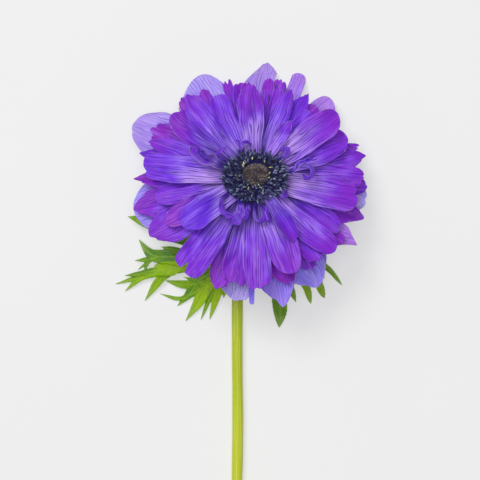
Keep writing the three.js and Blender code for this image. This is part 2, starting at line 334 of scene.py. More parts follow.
# ---- Green leaves --------------------------------------------------------------------------
# A whorl of three deeply cut leaves clasps the stem a little below the head. Each is one thin
# soft blade that parts into narrow pointed lobes, with a groove along the middle of every lobe.
leaf_skin, n, shader = new_finish("leaf skin", 0.5, 0.15, (0.6, 1.2, 0.3), 0.6)
shader["Specular IOR Level"].default_value = 0.2
lateral, along, kind = n.separate(n.attribute("skin", "Vector"))[:3]
place_on = n.object_place()
mottle = n.noise(place_on, 160.0, 3.0)
fine = n.noise(place_on, 900.0, 2.0)
shade = n.attribute("shade")
color = n.ramp(
    n.plus(shade, n.times(n.minus(mottle, 0.5), 0.9)),
    [
        (0.0, (78, 126, 52)),
        (0.35, (98, 146, 14)),
        (0.7, (130, 172, 0)),
        (1.0, (150, 186, 0)),
    ],
)
color = n.blend(n.range(along, 0.75, 1.0, 0.0, 0.55), color, rgb(92, 134, 44))
off_middle = n.math("ABSOLUTE", lateral)
side_veins = n.noise(n.combine(n.plus(off_middle, n.times(along, -14.0)), 0, kind), 2.2)
color = n.blend(n.range(side_veins, 0.52, 0.66, 0.0, 0.4), color, rgb(154, 186, 30))
middle_vein = n.range(off_middle, 0.42, 0.1)
color = n.blend(n.times(middle_vein, 0.4), color, rgb(160, 192, 70))
color = n.blend(n.range(fine, 0.4, 0.7, 0.0, 0.18), color, rgb(60, 100, 20))
color = n.blend(n.times(n.attribute("under"), 0.55), color, rgb(142, 168, 90))
relief = n.plus(side_veins, n.times(fine, 0.3))
coat(n, shader, color, n.bump(relief, 0.25, 0.6))

LEAF_THICKNESS = 0.62
LEAF_VOXEL = 0.27
LOBE_AROUND = 18
LOBE_ROWS = 30
NEAR_SPOTS = 6
GROOVE_DEPTH = 0.22
GROOVE_WIDTH = 0.4


def plain_mesh(helper):
    """The helper's mesh with its modifiers worked in. The helper goes."""
    evaluated = helper.evaluated_get(bpy.context.evaluated_depsgraph_get())
    mesh = bpy.data.meshes.new_from_object(evaluated)
    helper.modifiers.clear()
    bpy.data.objects.remove(helper)
    return mesh


def leaf_mesh(name, lobes):
    """One leaf: its lobes as ribbons, fused to one blade, with grooves along the lobes."""
    points = []
    faces = []
    lines = []
    for lobe in lobes:
        route = smooth_route(lobe["points"], LOBE_ROWS)
        t = np.linspace(0, 1, LOBE_ROWS)
        forward = unit(np.gradient(route, axis=0))
        across = unit(np.cross(forward, [0.0, 0.0, 1.0]))
        taper = (0.8 + 0.2 * smooth(t / 0.4)) * (1 - t ** lobe.get("blunt", 2.6)) + 0.03
        half = 0.5 * lobe["width"] * taper * (1 + 0.06 * np.sin(13 * t + lobe["width"] * 9))
        thick = 0.5 * LEAF_THICKNESS * (1 - 0.25 * smooth((t - 0.6) / 0.4))
        turn = np.linspace(0, 2 * math.pi, LOBE_AROUND, endpoint=False)
        start = len(points)
        for k in range(LOBE_ROWS):
            fold = 0.16 * np.abs(np.cos(turn)) * half[k]
            lift = fold + thick[k] * np.sign(np.sin(turn)) * np.abs(np.sin(turn)) ** 0.6
            ring = route[k] + np.cos(turn)[:, None] * half[k] * across[k]
            ring[:, 2] += lift
            points += ring.tolist()
        skin_faces = wrapped_faces(LOBE_ROWS, LOBE_AROUND)
        faces += [tuple(i + start for i in face) for face in skin_faces]
        lines.append((route, across, half, t))
    points = np.array(points)
    points[:, 2] = np.maximum(points[:, 2], 0.05)
    rough = scene_object(name + " lobes", solid_mesh(name, points, faces, {}))
    fuse = rough.modifiers.new("fuse", "REMESH")
    fuse.mode = "VOXEL"
    fuse.voxel_size = LEAF_VOXEL * MM
    relax = rough.modifiers.new("relax", "SMOOTH")
    relax.factor = 0.5
    relax.iterations = 3
    mesh = plain_mesh(rough)

    # Each point of the fused blade takes its marks from the lobe that it lies nearest to.
    spots = KDTree(sum(len(line[0]) for line in lines))
    owners = []
    for number, (route, across, half, t) in enumerate(lines):
        for k, spot in enumerate(route):
            spots.insert(Vector(spot), len(owners))
            owners.append((number, k))
    spots.balance()
    count = len(mesh.vertices)
    flat = np.empty(count * 3, np.float32)
    mesh.vertices.foreach_get("co", flat)
    vertices = flat.reshape(-1, 3) / MM - FACE_MIDDLE
    skin = np.zeros((count, 3), np.float32)
    shade = np.zeros(count, np.float32)
    under = np.zeros(count, np.float32)
    for i, spot in enumerate(vertices):
        best = None
        for _, index, _ in spots.find_n(Vector(spot), NEAR_SPOTS):
            number, k = owners[index]
            route, across, half, t = lines[number]
            lateral = float(np.dot(spot - route[k], across[k]))
            share = abs(lateral) / half[k]
            if best is None or share < best[0]:
                best = (share, lateral, t[k], number, route[k][2])
        share, lateral, t_here, number, height = best
        skin[i] = (lateral, t_here, number * 3.1)
        shade[i] = lobes[number].get("shade", 0.6)
        top = spot[2] - height - 0.16 * abs(lateral)
        under[i] = 1.0 if top < -0.05 else 0.0
        if top > 0:
            groove = math.exp(-((lateral / GROOVE_WIDTH) ** 2))
            vertices[i][2] -= GROOVE_DEPTH * groove * (1 - t_here * 0.5)
    mesh.vertices.foreach_set("co", to_frame(vertices).astype(np.float32).ravel())
    write_marks(mesh, {"skin": skin, "shade": shade, "under": under})
    mesh.shade_smooth()
    return mesh


# Each lobe runs through its points, in mm from the middle of the face and above the table, and
# is `width` at its middle. blunt: from 2.6 for a long taper up to 14 for a rounded end. shade:
# painted light and shade, from the dull green of a lobe turned from the light to fresh green
# where it is lit.
leaves = {
    "leaf_left": [
        dict(points=[(-11, -36, 3.6), (-28, -37.6, 4.6), (-42, -41, 2.6), (-62.8, -47, 0.5)], width=7.2,
             shade=0.8),
        dict(points=[(-32, -37.6, 4.6), (-39, -39.4, 4.2), (-46, -41, 2.6)], width=8, blunt=5,
             shade=0.85),
        dict(points=[(-26, -36.4, 4.4), (-37, -34.6, 5), (-45.6, -33.6, 4.4), (-51.7, -26.8, 3)],
             width=7.6, shade=0.1),
        dict(points=[(-38, -40, 3.8), (-49.6, -43.4, 2.2), (-58.3, -50.3, 0.5)], width=3.9, shade=0.75),
        dict(points=[(-36, -39.4, 3.6), (-42.6, -45.2, 2.2), (-49.3, -54.6, 0.5)], width=4.8, shade=0.7),
        dict(points=[(-45, -40.4, 3), (-52, -42.3, 2.4), (-58.4, -43.1, 1.6)], width=2.8, shade=0.3),
        dict(points=[(-43, -34.6, 4.4), (-48, -35.8, 3.2), (-53.8, -36.4, 2.2)], width=2.8, shade=0.3),
        dict(points=[(-44.6, -35, 4.4), (-48.6, -37.8, 2.8), (-52.6, -40.8, 1.4)], width=1.8, shade=0.2),
        dict(points=[(-46.8, -36.4, 3.6), (-48.4, -39, 2.6), (-49.4, -41.8, 1.6)], width=1.6, shade=0.2),
        dict(points=[(-24, -35.6, 4.6), (-34, -32, 5.6), (-42, -30, 5)], width=4, shade=0.15),
        dict(points=[(-13, -34.5, 4), (-32, -26, 6), (-48, -19.2, 5), (-56.5, -16.6, 4.4)], width=6.2,
             blunt=4, shade=0.6),
        dict(points=[(-24, -31, 5), (-34, -27.5, 5.4), (-44, -27, 4)], width=3, shade=0.2),
    ],
    "leaf_lower": [
        dict(points=[(-12, -37.5, 1.4), (-19, -43, 2.2), (-24.6, -54.1, 1.8), (-30.9, -63.5, 0.5)],
             width=7.6, shade=1.0),
        dict(points=[(-11, -37, 1.4), (-16, -43, 2.2), (-20, -50, 1.8)], width=9, blunt=5, shade=1.0),
        dict(points=[(-14, -39, 1.6), (-24, -44.5, 2.2), (-28.5, -50.5, 1.6), (-34.6, -56.8, 0.5)],
             width=7, shade=0.3),
        dict(points=[(-16, -40, 1.8), (-19, -50, 1.8), (-24.2, -63.4, 0.5)], width=3.8, shade=0.45),
        dict(points=[(-14, -40, 1.8), (-16.2, -50, 1.8), (-20.2, -63.1, 0.5)], width=5.2, shade=1.0),
        dict(points=[(-12.5, -39, 1.6), (-13, -46, 2), (-13.8, -53.2, 1.2)], width=5.2, shade=1.0),
        dict(points=[(-22, -45.6, 1.8), (-31, -47, 1.6), (-39.9, -45.3, 0.8)], width=4.2, blunt=3.5,
             shade=0.5),
        dict(points=[(-24, -48.6, 1.8), (-33, -53.3, 1.2), (-42.8, -51, 0.6)], width=2.6, shade=0.4),
        dict(points=[(-20, -45.4, 2.2), (-26.5, -44.8, 2.4), (-32.2, -43.7, 2)], width=2.2, shade=0.1),
        dict(points=[(-20, -44, 1.9), (-19.5, -40, 2.4), (-18.8, -36.5, 2.6)], width=4, shade=0.5),
    ],
    "leaf_right": [
        dict(points=[(-4.4, -36, 2.2), (8, -43, 3), (11.3, -56, 2), (11.1, -66.5, 0.5)], width=6.8,
             blunt=7, shade=0.3),
        dict(points=[(-4.4, -36, 2.2), (9, -42, 3), (15.4, -48, 2), (18.8, -55.2, 0.8)], width=6.6,
             shade=0.6),
        dict(points=[(8, -43, 2.8), (13, -51, 1.8), (14.8, -60, 0.8)], width=2.4, shade=0.4),
        dict(points=[(-4.4, -35, 2.48), (13, -40, 3.2), (22.2, -46.6, 2), (25.4, -55.8, 0.6)], width=3.3,
             blunt=14, shade=0.9),
        dict(points=[(-4.4, -35, 2.48), (15, -38, 3.4), (26.8, -44.4, 2), (31.5, -53.2, 0.6)], width=4.2,
             blunt=14, shade=0.8),
        dict(points=[(-4.4, -34.5, 2.48), (16, -33.8, 4), (30.8, -38.4, 3), (39.5, -47.5, 0.8)],
             width=2.8, blunt=10, shade=0.45),
        dict(points=[(16, -38.5, 3), (24, -42, 2.4), (31.8, -44, 1.4)], width=3, blunt=5, shade=0.4),
    ],
}
for name, lobes in leaves.items():
    place(name + "_blade", leaf_mesh(name, lobes), leaf_skin, "leaf", name)


# ---- Sepals --------------------------------------------------------------------------------
# The outermost twelve leaves of the face, the broadest and palest, lavender with fine veins.
# Each is a thin blade that narrows to a claw, grown on to the foot of the receptacle.
def veins_group():
    """Fine lines that run the length of a petal, and soft patches of colour, from its skin."""
    group = bpy.data.node_groups.new("long veins", "ShaderNodeTree")
    for name in ("Per mm", "Branching"):
        group.interface.new_socket(name, in_out="INPUT", socket_type="NodeSocketFloat")
    for name in ("Vein", "Streak", "Patch"):
        group.interface.new_socket(name, in_out="OUTPUT", socket_type="NodeSocketFloat")
    n = Nodes(group)
    given = n.add("NodeGroupInput").outputs
    across, along, seed = n.separate(n.attribute("skin", "Vector"))[:3]
    branching = n.times(along, given["Branching"])
    sway_at = n.combine(n.times(across, 0.45), branching, seed)
    sway = n.times(n.minus(n.noise(sway_at, 1.0, 1.0), 0.5), 2.6)
    lines = n.times(n.plus(across, sway), given["Per mm"])
    wave = n.math("ABSOLUTE", n.math("COSINE", n.times(lines, math.pi)))
    strength_at = n.combine(n.times(lines, 0.9), n.times(along, 5.0), seed)
    strength = n.range(n.noise(strength_at, 1.0, 1.0), 0.34, 0.56, 0.3, 1.0)
    vein = n.times(n.range(wave, 0.55, 0.1), strength)
    streak_at = n.combine(n.times(across, 0.36), n.times(along, 1.6), seed)
    patch_at = n.combine(n.times(across, 0.16), n.times(along, 2.6), seed)
    streak = n.noise(streak_at, 1.0, 2.0)
    n.add("NodeGroupOutput", {"Vein": vein, "Streak": streak, "Patch": n.noise(patch_at, 1.0)})
    return group


long_veins = veins_group()
RIM_HIGHLIGHT = 0.08


def petal_finish(
    name, stops, blue_stops, vein_and_shade_color, pale_color, tip_color, depth, fold, gap, branching
):
    """Thin, softly shining skin: colour from foot to tip, dark veins, a paler margin as a painted rim
    highlight, painted light and shade on its folds, and painted shade in its creases and where other
    petals cover it.

    depth: how dark the veins are. fold: how strong the streaks of painted fold light and shade are.
    gap: mm between veins.
    """
    material, n, shader = new_finish(name, 0.5, 0.2, (1.0, 0.5, 1.4), 0.4, 0.12)
    along = n.separate(n.attribute("skin", "Vector"))[1]
    magenta, blue, pale = n.separate(n.attribute("tint", "Vector"))[:3]
    values = {"Per mm": 1 / gap, "Branching": branching}
    vein, streak, patch = n.add("ShaderNodeGroup", values, node_tree=long_veins).outputs
    spread = n.times(n.minus(patch, 0.5), 0.9)
    shifted = n.plus(along, spread)
    color = n.blend(blue, n.ramp(shifted, stops), n.ramp(shifted, blue_stops))
    color = n.blend(n.times(n.range(shifted, 0.4, 1.0), magenta), color, tip_color)
    # Painted light and shade of lengthwise folds: the streaks paint lighter and darker strips over the
    # inner part of the blade.
    inner = n.range(along, 1.0, 0.35, 0.45, 1.0)
    light = n.times(n.range(streak, 0.52, 0.68, 0.0, 0.4 * fold), inner)
    dark = n.times(n.range(streak, 0.5, 0.34, 0.0, fold), inner)
    color = n.blend(light, color, pale_color)
    color = n.blend(dark, color, vein_and_shade_color)
    paler = n.times(pale, n.range(shifted, 0.75, 0.2))
    color = n.blend(n.times(paler, 0.9), color, pale_color)
    # Painted highlight: a paler rim along the margin of the blade.
    rim_highlight = n.times(n.attribute("rim_highlight"), RIM_HIGHLIGHT)
    color = n.blend(rim_highlight, color, pale_color)
    fade = n.range(along, 0.35, 1.0, depth, depth * 0.5)
    color = n.blend(n.times(vein, fade), color, vein_and_shade_color)
    # Painted shade in the creases near the foot: the valleys of the pleats darkened to the vein colour.
    ridge = n.math("ABSOLUTE", n.math("COSINE", n.attribute("crease")))
    crease_shade = n.times(n.range(ridge, 0.32, 0.0), n.range(along, 0.8, 0.3, 0.0, 0.85))
    color = n.blend(crease_shade, color, vein_and_shade_color)
    # Painted shade: darker where other petals cover the blade, at its foot and inside the curled strips.
    color = n.blend(n.attribute("painted_shade"), color, vein_and_shade_color)
    color = n.blend(n.times(n.attribute("under"), 0.45), color, rgb(186, 170, 226))
    relief = n.minus(n.times(streak, 1.6), n.times(vein, 0.35))
    coat(n, shader, color, n.bump(relief, 0.6, 0.7))
    return material


sepal_skin = petal_finish(
    "sepal skin",
    stops=[
        (0.0, (150, 120, 212)),
        (0.5, (166, 140, 226)),
        (0.8, (186, 168, 232)),
        (1.0, (190, 174, 232)),
    ],
    blue_stops=[
        (0.0, (134, 110, 220)),
        (0.5, (128, 104, 242)),
        (0.8, (140, 118, 248)),
        (1.0, (148, 128, 248)),
    ],
    vein_and_shade_color=rgb(86, 58, 204),
    pale_color=rgb(224, 214, 240),
    tip_color=rgb(172, 104, 216),
    depth=0.95,
    fold=0.3,
    gap=1.35,
    branching=7.0,
)

PETAL_THICKNESS = 0.3
MARGIN_THICKNESS = 0.12
FOOT_RADIUS = 7.3
COLUMNS = 29
ROWS = 52
PLEAT_DEPTH = 0.5
CREASE_DEPTH = 0.55
MARGIN_WAVE = 0.5
CRUMPLE = 0.15
# Painted shade: the level below which a petal's covered part is painted darker, and the share of its
# length that the painted shade at its foot takes.
SHADED_BELOW_LEVEL = 6.8
FOOT_SHADE_END = 0.27


def blade_mesh(name, middle, thickness, marks):
    """A thin closed blade around a middle surface of (rows, columns, 3) points in mm."""
    rows, columns = middle.shape[:2]
    normal = unit(np.cross(np.gradient(middle, axis=1), np.gradient(middle, axis=0)))
    if normal[rows // 3, columns // 2, 2] < 0:
        normal = -normal
    half = 0.5 * thickness[..., None] * normal
    upper = (middle + half).reshape(-1, 3)
    lower = (middle - half).reshape(-1, 3)
    index = np.arange(rows * columns).reshape(rows, columns)
    corners = [index[:-1, :-1], index[:-1, 1:], index[1:, 1:], index[1:, :-1]]
    quad = np.stack(corners, -1).reshape(-1, 4)
    rim = np.concatenate([index[0, :-1], index[:-1, -1], index[-1, :0:-1], index[:0:-1, 0]])
    after = np.roll(rim, -1)
    below = rows * columns
    sides = np.stack([rim + below, after + below, after, rim], -1)
    faces = np.concatenate([quad, quad[:, ::-1] + below, sides]).tolist()
    doubled = {}
    for key, values in marks.items():
        doubled[key] = np.concatenate([values.reshape(below, -1)] * 2)
    doubled["under"] = np.concatenate([np.zeros(below), np.ones(below)])
    return solid_mesh(name, np.concatenate([upper, lower]), faces, doubled)


def petal_mesh(name, leaf, seed):
    """One petal: its outline at its angle and level, then pleats, margin waves and tip teeth."""
    rng = np.random.default_rng(seed)
    angle, reach, width, level = leaf["at"]
    tip = leaf.get("tip", 0.3)
    claw = leaf.get("claw", 0.45)
    pointed, blunt = max(tip, 0), max(-2 * tip, 0)
    u, t = np.meshgrid(np.linspace(-1, 1, COLUMNS), np.linspace(0, 1, ROWS))
    along = 1 - (1 - t) ** 1.25
    spread = claw + (1 - claw) * smooth(along / leaf.get("peak", 0.65))
    close = 1 - (0.12 + 0.4 * pointed) * np.clip((along - 0.7) / 0.3, 0, 1) ** 2
    right = (u > 0).astype(int)
    wobble = 1 + 0.05 * np.sin(along * rng.uniform(5, 8) + rng.uniform(0, 6, 2)[right])
    wobble += 0.025 * np.sin(along * rng.uniform(14, 22) + rng.uniform(0, 6, 2)[right])
    sideways = u * 0.5 * width * spread * close * wobble
    skew = leaf.get("skew", rng.uniform(-0.3, 0.3))
    arc = 1 - np.sqrt(1 - (0.985 * (u + skew * (1 - u**2))) ** 2)
    cut = width * ((0.40 - 0.15 * pointed - 0.2 * blunt) * arc + 0.4 * pointed**2 * np.abs(u))
    notches = leaf.get("notches")
    if notches is None:
        notches = [rng.uniform((-0.7, 0.2, 0.1), (0.7, 0.9, 0.22)) for _ in range(2)]
    teeth = np.zeros_like(u)
    for spot, depth, half in notches:
        teeth += depth * np.exp(-(((u - spot) / half) ** 2))
    radius = FOOT_RADIUS + (reach - FOOT_RADIUS) * along - cut * along**7 - teeth * along**12
    offset = sideways + leaf.get("bend", 0) * (along**2 - along)
    offset += leaf.get("lean", rng.uniform(-0.7, 0.7)) * along**4
    heading = math.radians(angle)
    x = math.cos(heading) * radius + math.sin(heading) * offset
    y = math.sin(heading) * radius - math.cos(heading) * offset
    z = face_height(x, y, level)
    z += leaf.get("cup", 0.08) * sideways**2 * 4 / width
    z += rng.uniform(-0.14, 0.14) * sideways * smooth(along * 1.5)
    z += leaf.get("lift", 0) * np.sin(math.pi * np.clip(along, 0, 1))
    z += leaf.get("curl", rng.uniform(-1.6, 0.4)) * np.clip((along - 0.55) / 0.45, 0, 1) ** 2
    bow = u * rng.uniform(0.6, 1.2) + rng.uniform(0, 3) + rng.uniform(-0.6, 0.6) * along
    z += PLEAT_DEPTH * np.cos(bow * 2.5) * smooth(along * 3)
    crease = math.pi * u * 0.5 * width / rng.uniform(1.9, 3.0) + rng.uniform(0, 3)
    crease += 0.5 * np.sin(u * rng.uniform(1, 3) + rng.uniform(0, 6))
    crease += rng.uniform(-0.5, 0.5) * along
    near_foot = smooth(along * 6) * (1 - smooth((along - 0.15) / 0.6))
    z += CREASE_DEPTH * (np.abs(np.cos(crease)) - 0.6) * near_foot
    wave = np.sin(along * rng.uniform(9, 15) + rng.uniform(0, 6, 2)[right])
    wave += 0.5 * np.sin(along * rng.uniform(20, 30) + rng.uniform(0, 6, 2)[right])
    z += MARGIN_WAVE * wave * np.abs(u) ** 4 * smooth((along - 0.3) * 3)
    for slant, pace, phase in rng.uniform((-1.0, 0.25, 0), (1.0, 0.7, 6), (5, 3)):
        ripple = np.sin(slant * sideways + pace * radius + phase)
        z += CRUMPLE * ripple * smooth(along * 2)
    z = np.maximum(z, 0.25)
    thickness = MARGIN_THICKNESS + (PETAL_THICKNESS - MARGIN_THICKNESS) * (1 - u**6)
    magenta, blue, pale = leaf["tint"]
    skin = np.stack([u * 0.5 * width, along, np.full_like(u, seed * 3.7)], -1)
    # Painted highlight: the rim along the sides and at the very tip, for the finish to pale.
    rim_highlight = np.clip(np.abs(u) ** 12 + 0.5 * np.clip((along - 0.96) / 0.04, 0, 1), 0, 1)
    tint = np.stack(np.broadcast_arrays(magenta, blue, pale, u)[:3], -1)
    middle = np.stack([x, y, z], -1)
    # Painted shade: the part under the petals above is darker, more so on lower levels, and each blade
    # gets a darker foot by the receptacle.
    under_petals_shade = leaf.get("painted_shade", 0.85 * smooth((SHADED_BELOW_LEVEL - level) / 4))
    painted_shade = under_petals_shade * smooth((leaf.get("shade_to", 0.62) - along) / 0.36)
    foot = rng.uniform(0.3, 0.95)
    painted_shade = np.maximum(painted_shade, foot * smooth((FOOT_SHADE_END - along) / 0.14))
    marks = {"skin": skin, "rim_highlight": rim_highlight, "tint": tint, "crease": crease, "painted_shade": painted_shade}
    return blade_mesh(name, middle, thickness, marks)


# at: angle round the face in degrees, reach and width in mm, level of the spiral. claw: share
# of the width at the foot. peak: where along it is widest. tip: -0.5 square, 0 blunt, 1
# pointed. skew: how far to one side the tip's peak is. bend, lean: mm that the middle and the
# tip bow sideways. notches: place across, depth and width of the teeth's gaps. cup, lift, curl:
# how far the sides, the middle and the tip rise. tint: how magenta, how blue and how pale it
# is. painted_shade, shade_to: how dark the painted shade is on its part hidden under other
# petals, and the share of its length that it takes.
sepals = [
    dict(at=(346.2, 50, 23.6, 1.0), claw=0.25, tint=(0, 0.25, 0.75)),
    dict(at=(45.4, 49.3, 11.8, 1.0), claw=0.4, tip=0.1, notches=[], tint=(0.7, 0.35, 0.25)),
    dict(at=(65, 51.9, 7.3, 0), claw=0.5, lean=-1.2, tip=0.1, notches=[], tint=(0.75, 0.55, 0.05)),
    dict(at=(90.5, 52.7, 14, 1.1), claw=0.4, tip=0.65, lean=5.8, peak=0.5, tint=(0.4, 0.3, 0.45)),
    dict(at=(123.4, 52.3, 25, 0.3), claw=0.3, tip=0.15, skew=-0.4, notches=[], tint=(0.1, 0.4, 0.6)),
    dict(at=(155.4, 58.8, 20.4, 1.0), claw=0.25, tip=0.3, skew=-0.05, tint=(0.3, 0.3, 0.5)),
    dict(at=(196, 54.4, 25, 0.2), claw=0.25, tip=0.1, tint=(0, 0.6, 0.4)),
    dict(at=(261, 54.2, 19, 0), claw=0.3, skew=0.35, notches=[(-0.4, 0.8, 0.2)], tint=(0, 0.15, 1.0)),
    dict(at=(268, 54.8, 2.8, 0.9), claw=0.7, tint=(0, 1, 0.2)),
    dict(at=(282.3, 57.1, 17, 1.8), claw=0.4, tip=0.7, peak=0.5, skew=0.2, notches=[(0.45, 1.4, 0.2)],
         tint=(0.2, 0.9, 0.1)),
    dict(at=(300.2, 54.6, 21.4, 0.7), claw=0.35, tip=0.5, notches=[(0.5, 0.8, 0.15)],
         tint=(0, 0.75, 0.3)),
    dict(at=(321, 52.6, 14, 2.2), claw=0.4, lean=-4.8, tip=0.95, peak=0.4, skew=0, tint=(0.9, 0.35, 0)),
]
for number, leaf in enumerate(sepals, 1):
    name = f"sepal_{number:02d}"
    leaf.setdefault("cup", 0.03)
    leaf.setdefault("curl", 0)
    place(name + "_blade", petal_mesh(name, leaf, seed=100 + number), sepal_skin, "sepal", name)


# ---- Petals --------------------------------------------------------------------------------
# Forty narrower leaves in rows above the sepals, grown on to the side of the receptacle:
# lavender at the foot, deep violet along the blade and magenta at the tip, and pleated
# lengthwise as they were in the bud.
petal_skin = petal_finish(
    "petal skin",
    stops=[
        (0.0, (174, 140, 242)),
        (0.25, (154, 106, 244)),
        (0.5, (130, 58, 232)),
        (1.0, (128, 32, 218)),
    ],
    blue_stops=[
        (0.0, (170, 148, 248)),
        (0.3, (144, 104, 246)),
        (0.55, (112, 52, 238)),
        (1.0, (108, 36, 226)),
    ],
    vein_and_shade_color=rgb(50, 4, 142),
    pale_color=rgb(204, 166, 240),
    tip_color=rgb(146, 26, 188),
    depth=1.0,
    fold=0.5,
    gap=1.2,
    branching=2.6,
)

petals = [
    dict(at=(0.5, 47.3, 11.4, 5.0), claw=0.6, tint=(0.4, 0.1, 0.35)),
    dict(at=(10.6, 49.4, 12, 4.0), tip=0.8, claw=0.6, notches=[(0.4, 0.9, 0.2)], tint=(0.3, 0.2, 0.3)),
    dict(at=(23, 43.8, 12.5, 6.0), claw=0.6, tip=0.1, notches=[(0.6, 0.6, 0.2)], tint=(0.3, 0.2, 0.35)),
    dict(at=(36.7, 45.5, 13.2, 7.1), claw=0.6, tip=0.2, notches=[], tint=(0.45, 0, 0.65)),
    dict(at=(51, 42, 10.5, 3.0), tint=(0.7, 0, 0)),
    dict(at=(58.5, 44.2, 7.6, 4.1), tip=0.9, claw=0.6, tint=(0.1, 0.6, 0)),
    dict(at=(67.5, 42, 7.6, 5.5), tip=0.8, claw=0.6, tint=(0.2, 0.6, 0.3)),
    dict(at=(81, 45, 6.8, 3.0), tip=0.5, claw=0.6, tint=(0.7, 0, 0)),
    dict(at=(94, 40, 11.2, 7.6), claw=0.6, tip=0.35, notches=[], tint=(0.45, 0.3, 0.45)),
    dict(at=(99.5, 42.4, 7.5, 4.2), tip=-0.2, claw=0.7, notches=[(-0.3, 0.6, 0.2)], tint=(0.5, 0, 0.15)),
    dict(at=(105.5, 45.8, 4.6, 2.2), tip=0, claw=0.8, notches=[(0.15, 2.4, 0.3), (-0.6, 1.2, 0.2)],
         tint=(0.7, 0, 0)),
    dict(at=(114.5, 39.4, 9.6, 6.5), claw=0.55, bend=4, tip=-0.2, notches=[], tint=(0.1, 0.7, 0.35)),
    dict(at=(121, 45.4, 6.6, 3.4), claw=0.6, bend=3, tint=(0.9, 0, 0)),
    dict(at=(129.5, 47, 11.5, 5.5), claw=0.5, bend=5, tip=0.6, skew=0.3, tint=(0.4, 0.6, 0.2)),
    dict(at=(132.5, 48, 9.5, 2.4), tip=0.5, notches=[(-0.3, 0.7, 0.2)], tint=(0.85, 0, 0)),
    dict(at=(142.8, 45.5, 12, 4.4), claw=0.5, bend=4, tip=0.2, notches=[(0.5, 0.8, 0.2)],
         tint=(0.6, 0.4, 0.2)),
    dict(at=(155, 50.4, 12, 3.4), claw=0.4, tip=0.4, notches=[(-0.45, 1.8, 0.2), (0.45, 1.6, 0.2)],
         tint=(0.9, 0, 0)),
    dict(at=(162, 49, 9, 5.1), claw=0.6, tip=0.9, tint=(0.6, 0.3, 0.1)),
    dict(at=(168, 51.9, 8, 2.3), tip=1, claw=0.5, tint=(0.1, 0.5, 0.4)),
    dict(at=(174.5, 48, 12.2, 6.8), claw=0.7, tip=-0.35, skew=-0.2, notches=[(-0.5, 0.9, 0.2)],
         tint=(0.1, 0.7, 0.8)),
    dict(at=(180.5, 52.4, 9, 3.7), tip=1, claw=0.5, tint=(0.8, 0, 0)),
    dict(at=(191, 43.6, 10.5, 5.2), claw=0.6, tint=(0.25, 0.4, 0.75)),
    dict(at=(194.5, 54.2, 14.5, 2.4), tip=0.7, claw=0.5, skew=0, notches=[], tint=(0.6, 0, 0.15)),
    dict(at=(206.5, 43.4, 9.5, 6.2), claw=0.6, tip=0.5, tint=(0.8, 0, 0.4)),
    dict(at=(210.2, 51.8, 16.6, 3.8), claw=0.4, tip=0.5, skew=-0.25, notches=[(-0.3, 0.6, 0.15)],
         tint=(0.4, 0.2, 0.15)),
    dict(at=(213, 37.4, 12.5, 7.8), claw=0.6, notches=[], tint=(0, 0.9, 0.45)),
    dict(at=(233, 50.6, 14, 5.0), tip=-0.5, claw=0.5, skew=0.3, notches=[(0.15, 4.6, 0.12)],
         tint=(0.3, 0.4, 0.25)),
    dict(at=(251.5, 50.8, 12, 2.8), tip=0.5, claw=0.5, notches=[(-0.4, 1.2, 0.2)], tint=(0.7, 0, 0.3)),
    dict(at=(257, 46.4, 9.5, 4.1), claw=0.6, tint=(0.7, 0.1, 0.3)),
    dict(at=(263, 46.8, 7, 5.9), claw=0.6, tint=(0.5, 0.3, 0.35)),
    dict(at=(271, 48, 12, 7.0), claw=0.65, tip=0, painted_shade=0.9, shade_to=0.5, tint=(0.5, 0.4, 0.6)),
    dict(at=(287, 48.4, 12, 4.0), tip=0.5, claw=0.5, notches=[(-0.3, 1.4, 0.15), (0.3, 1.2, 0.15)],
         tint=(0.9, 0, 0)),
    dict(at=(290.5, 43.8, 13, 8.0), claw=0.5, tip=0.1, notches=[], painted_shade=0.9, shade_to=0.45,
         tint=(0.4, 0.1, 0.6)),
    dict(at=(302, 46.6, 10, 2.9), notches=[(-0.4, 0.8, 0.15), (0.2, 0.9, 0.15)], tint=(0.5, 0.5, 0.1)),
    dict(at=(307.5, 44.8, 10.5, 5.3), claw=0.5, notches=[(0.3, 0.9, 0.15), (0.6, 0.8, 0.1)],
         tint=(0.4, 0.3, 0.25)),
    dict(at=(317, 46.4, 10.5, 7.0), claw=0.5, bend=-5, notches=[], tint=(0.35, 0.1, 0.4)),
    dict(at=(322, 47.2, 9, 4.1), claw=0.5, bend=-5, tint=(0.6, 0, 0.25)),
    dict(at=(339.6, 50.8, 13, 3.2), tip=0.85, claw=0.5, skew=0, tint=(0.6, 0, 0.2)),
    dict(at=(348, 45, 14.5, 6.0), claw=0.6, tip=-0.1, notches=[(-0.2, 1.2, 0.15)], tint=(0.4, 0.1, 0.7)),
    dict(at=(355, 49.2, 10, 2.2), claw=0.5, tip=0.4, tint=(0.3, 0.6, 0.2)),
]
for number, leaf in enumerate(petals, 1):
    name = f"petal_{number:02d}"
    place(name + "_blade", petal_mesh(name, leaf, seed=number), petal_skin, "petal", name)


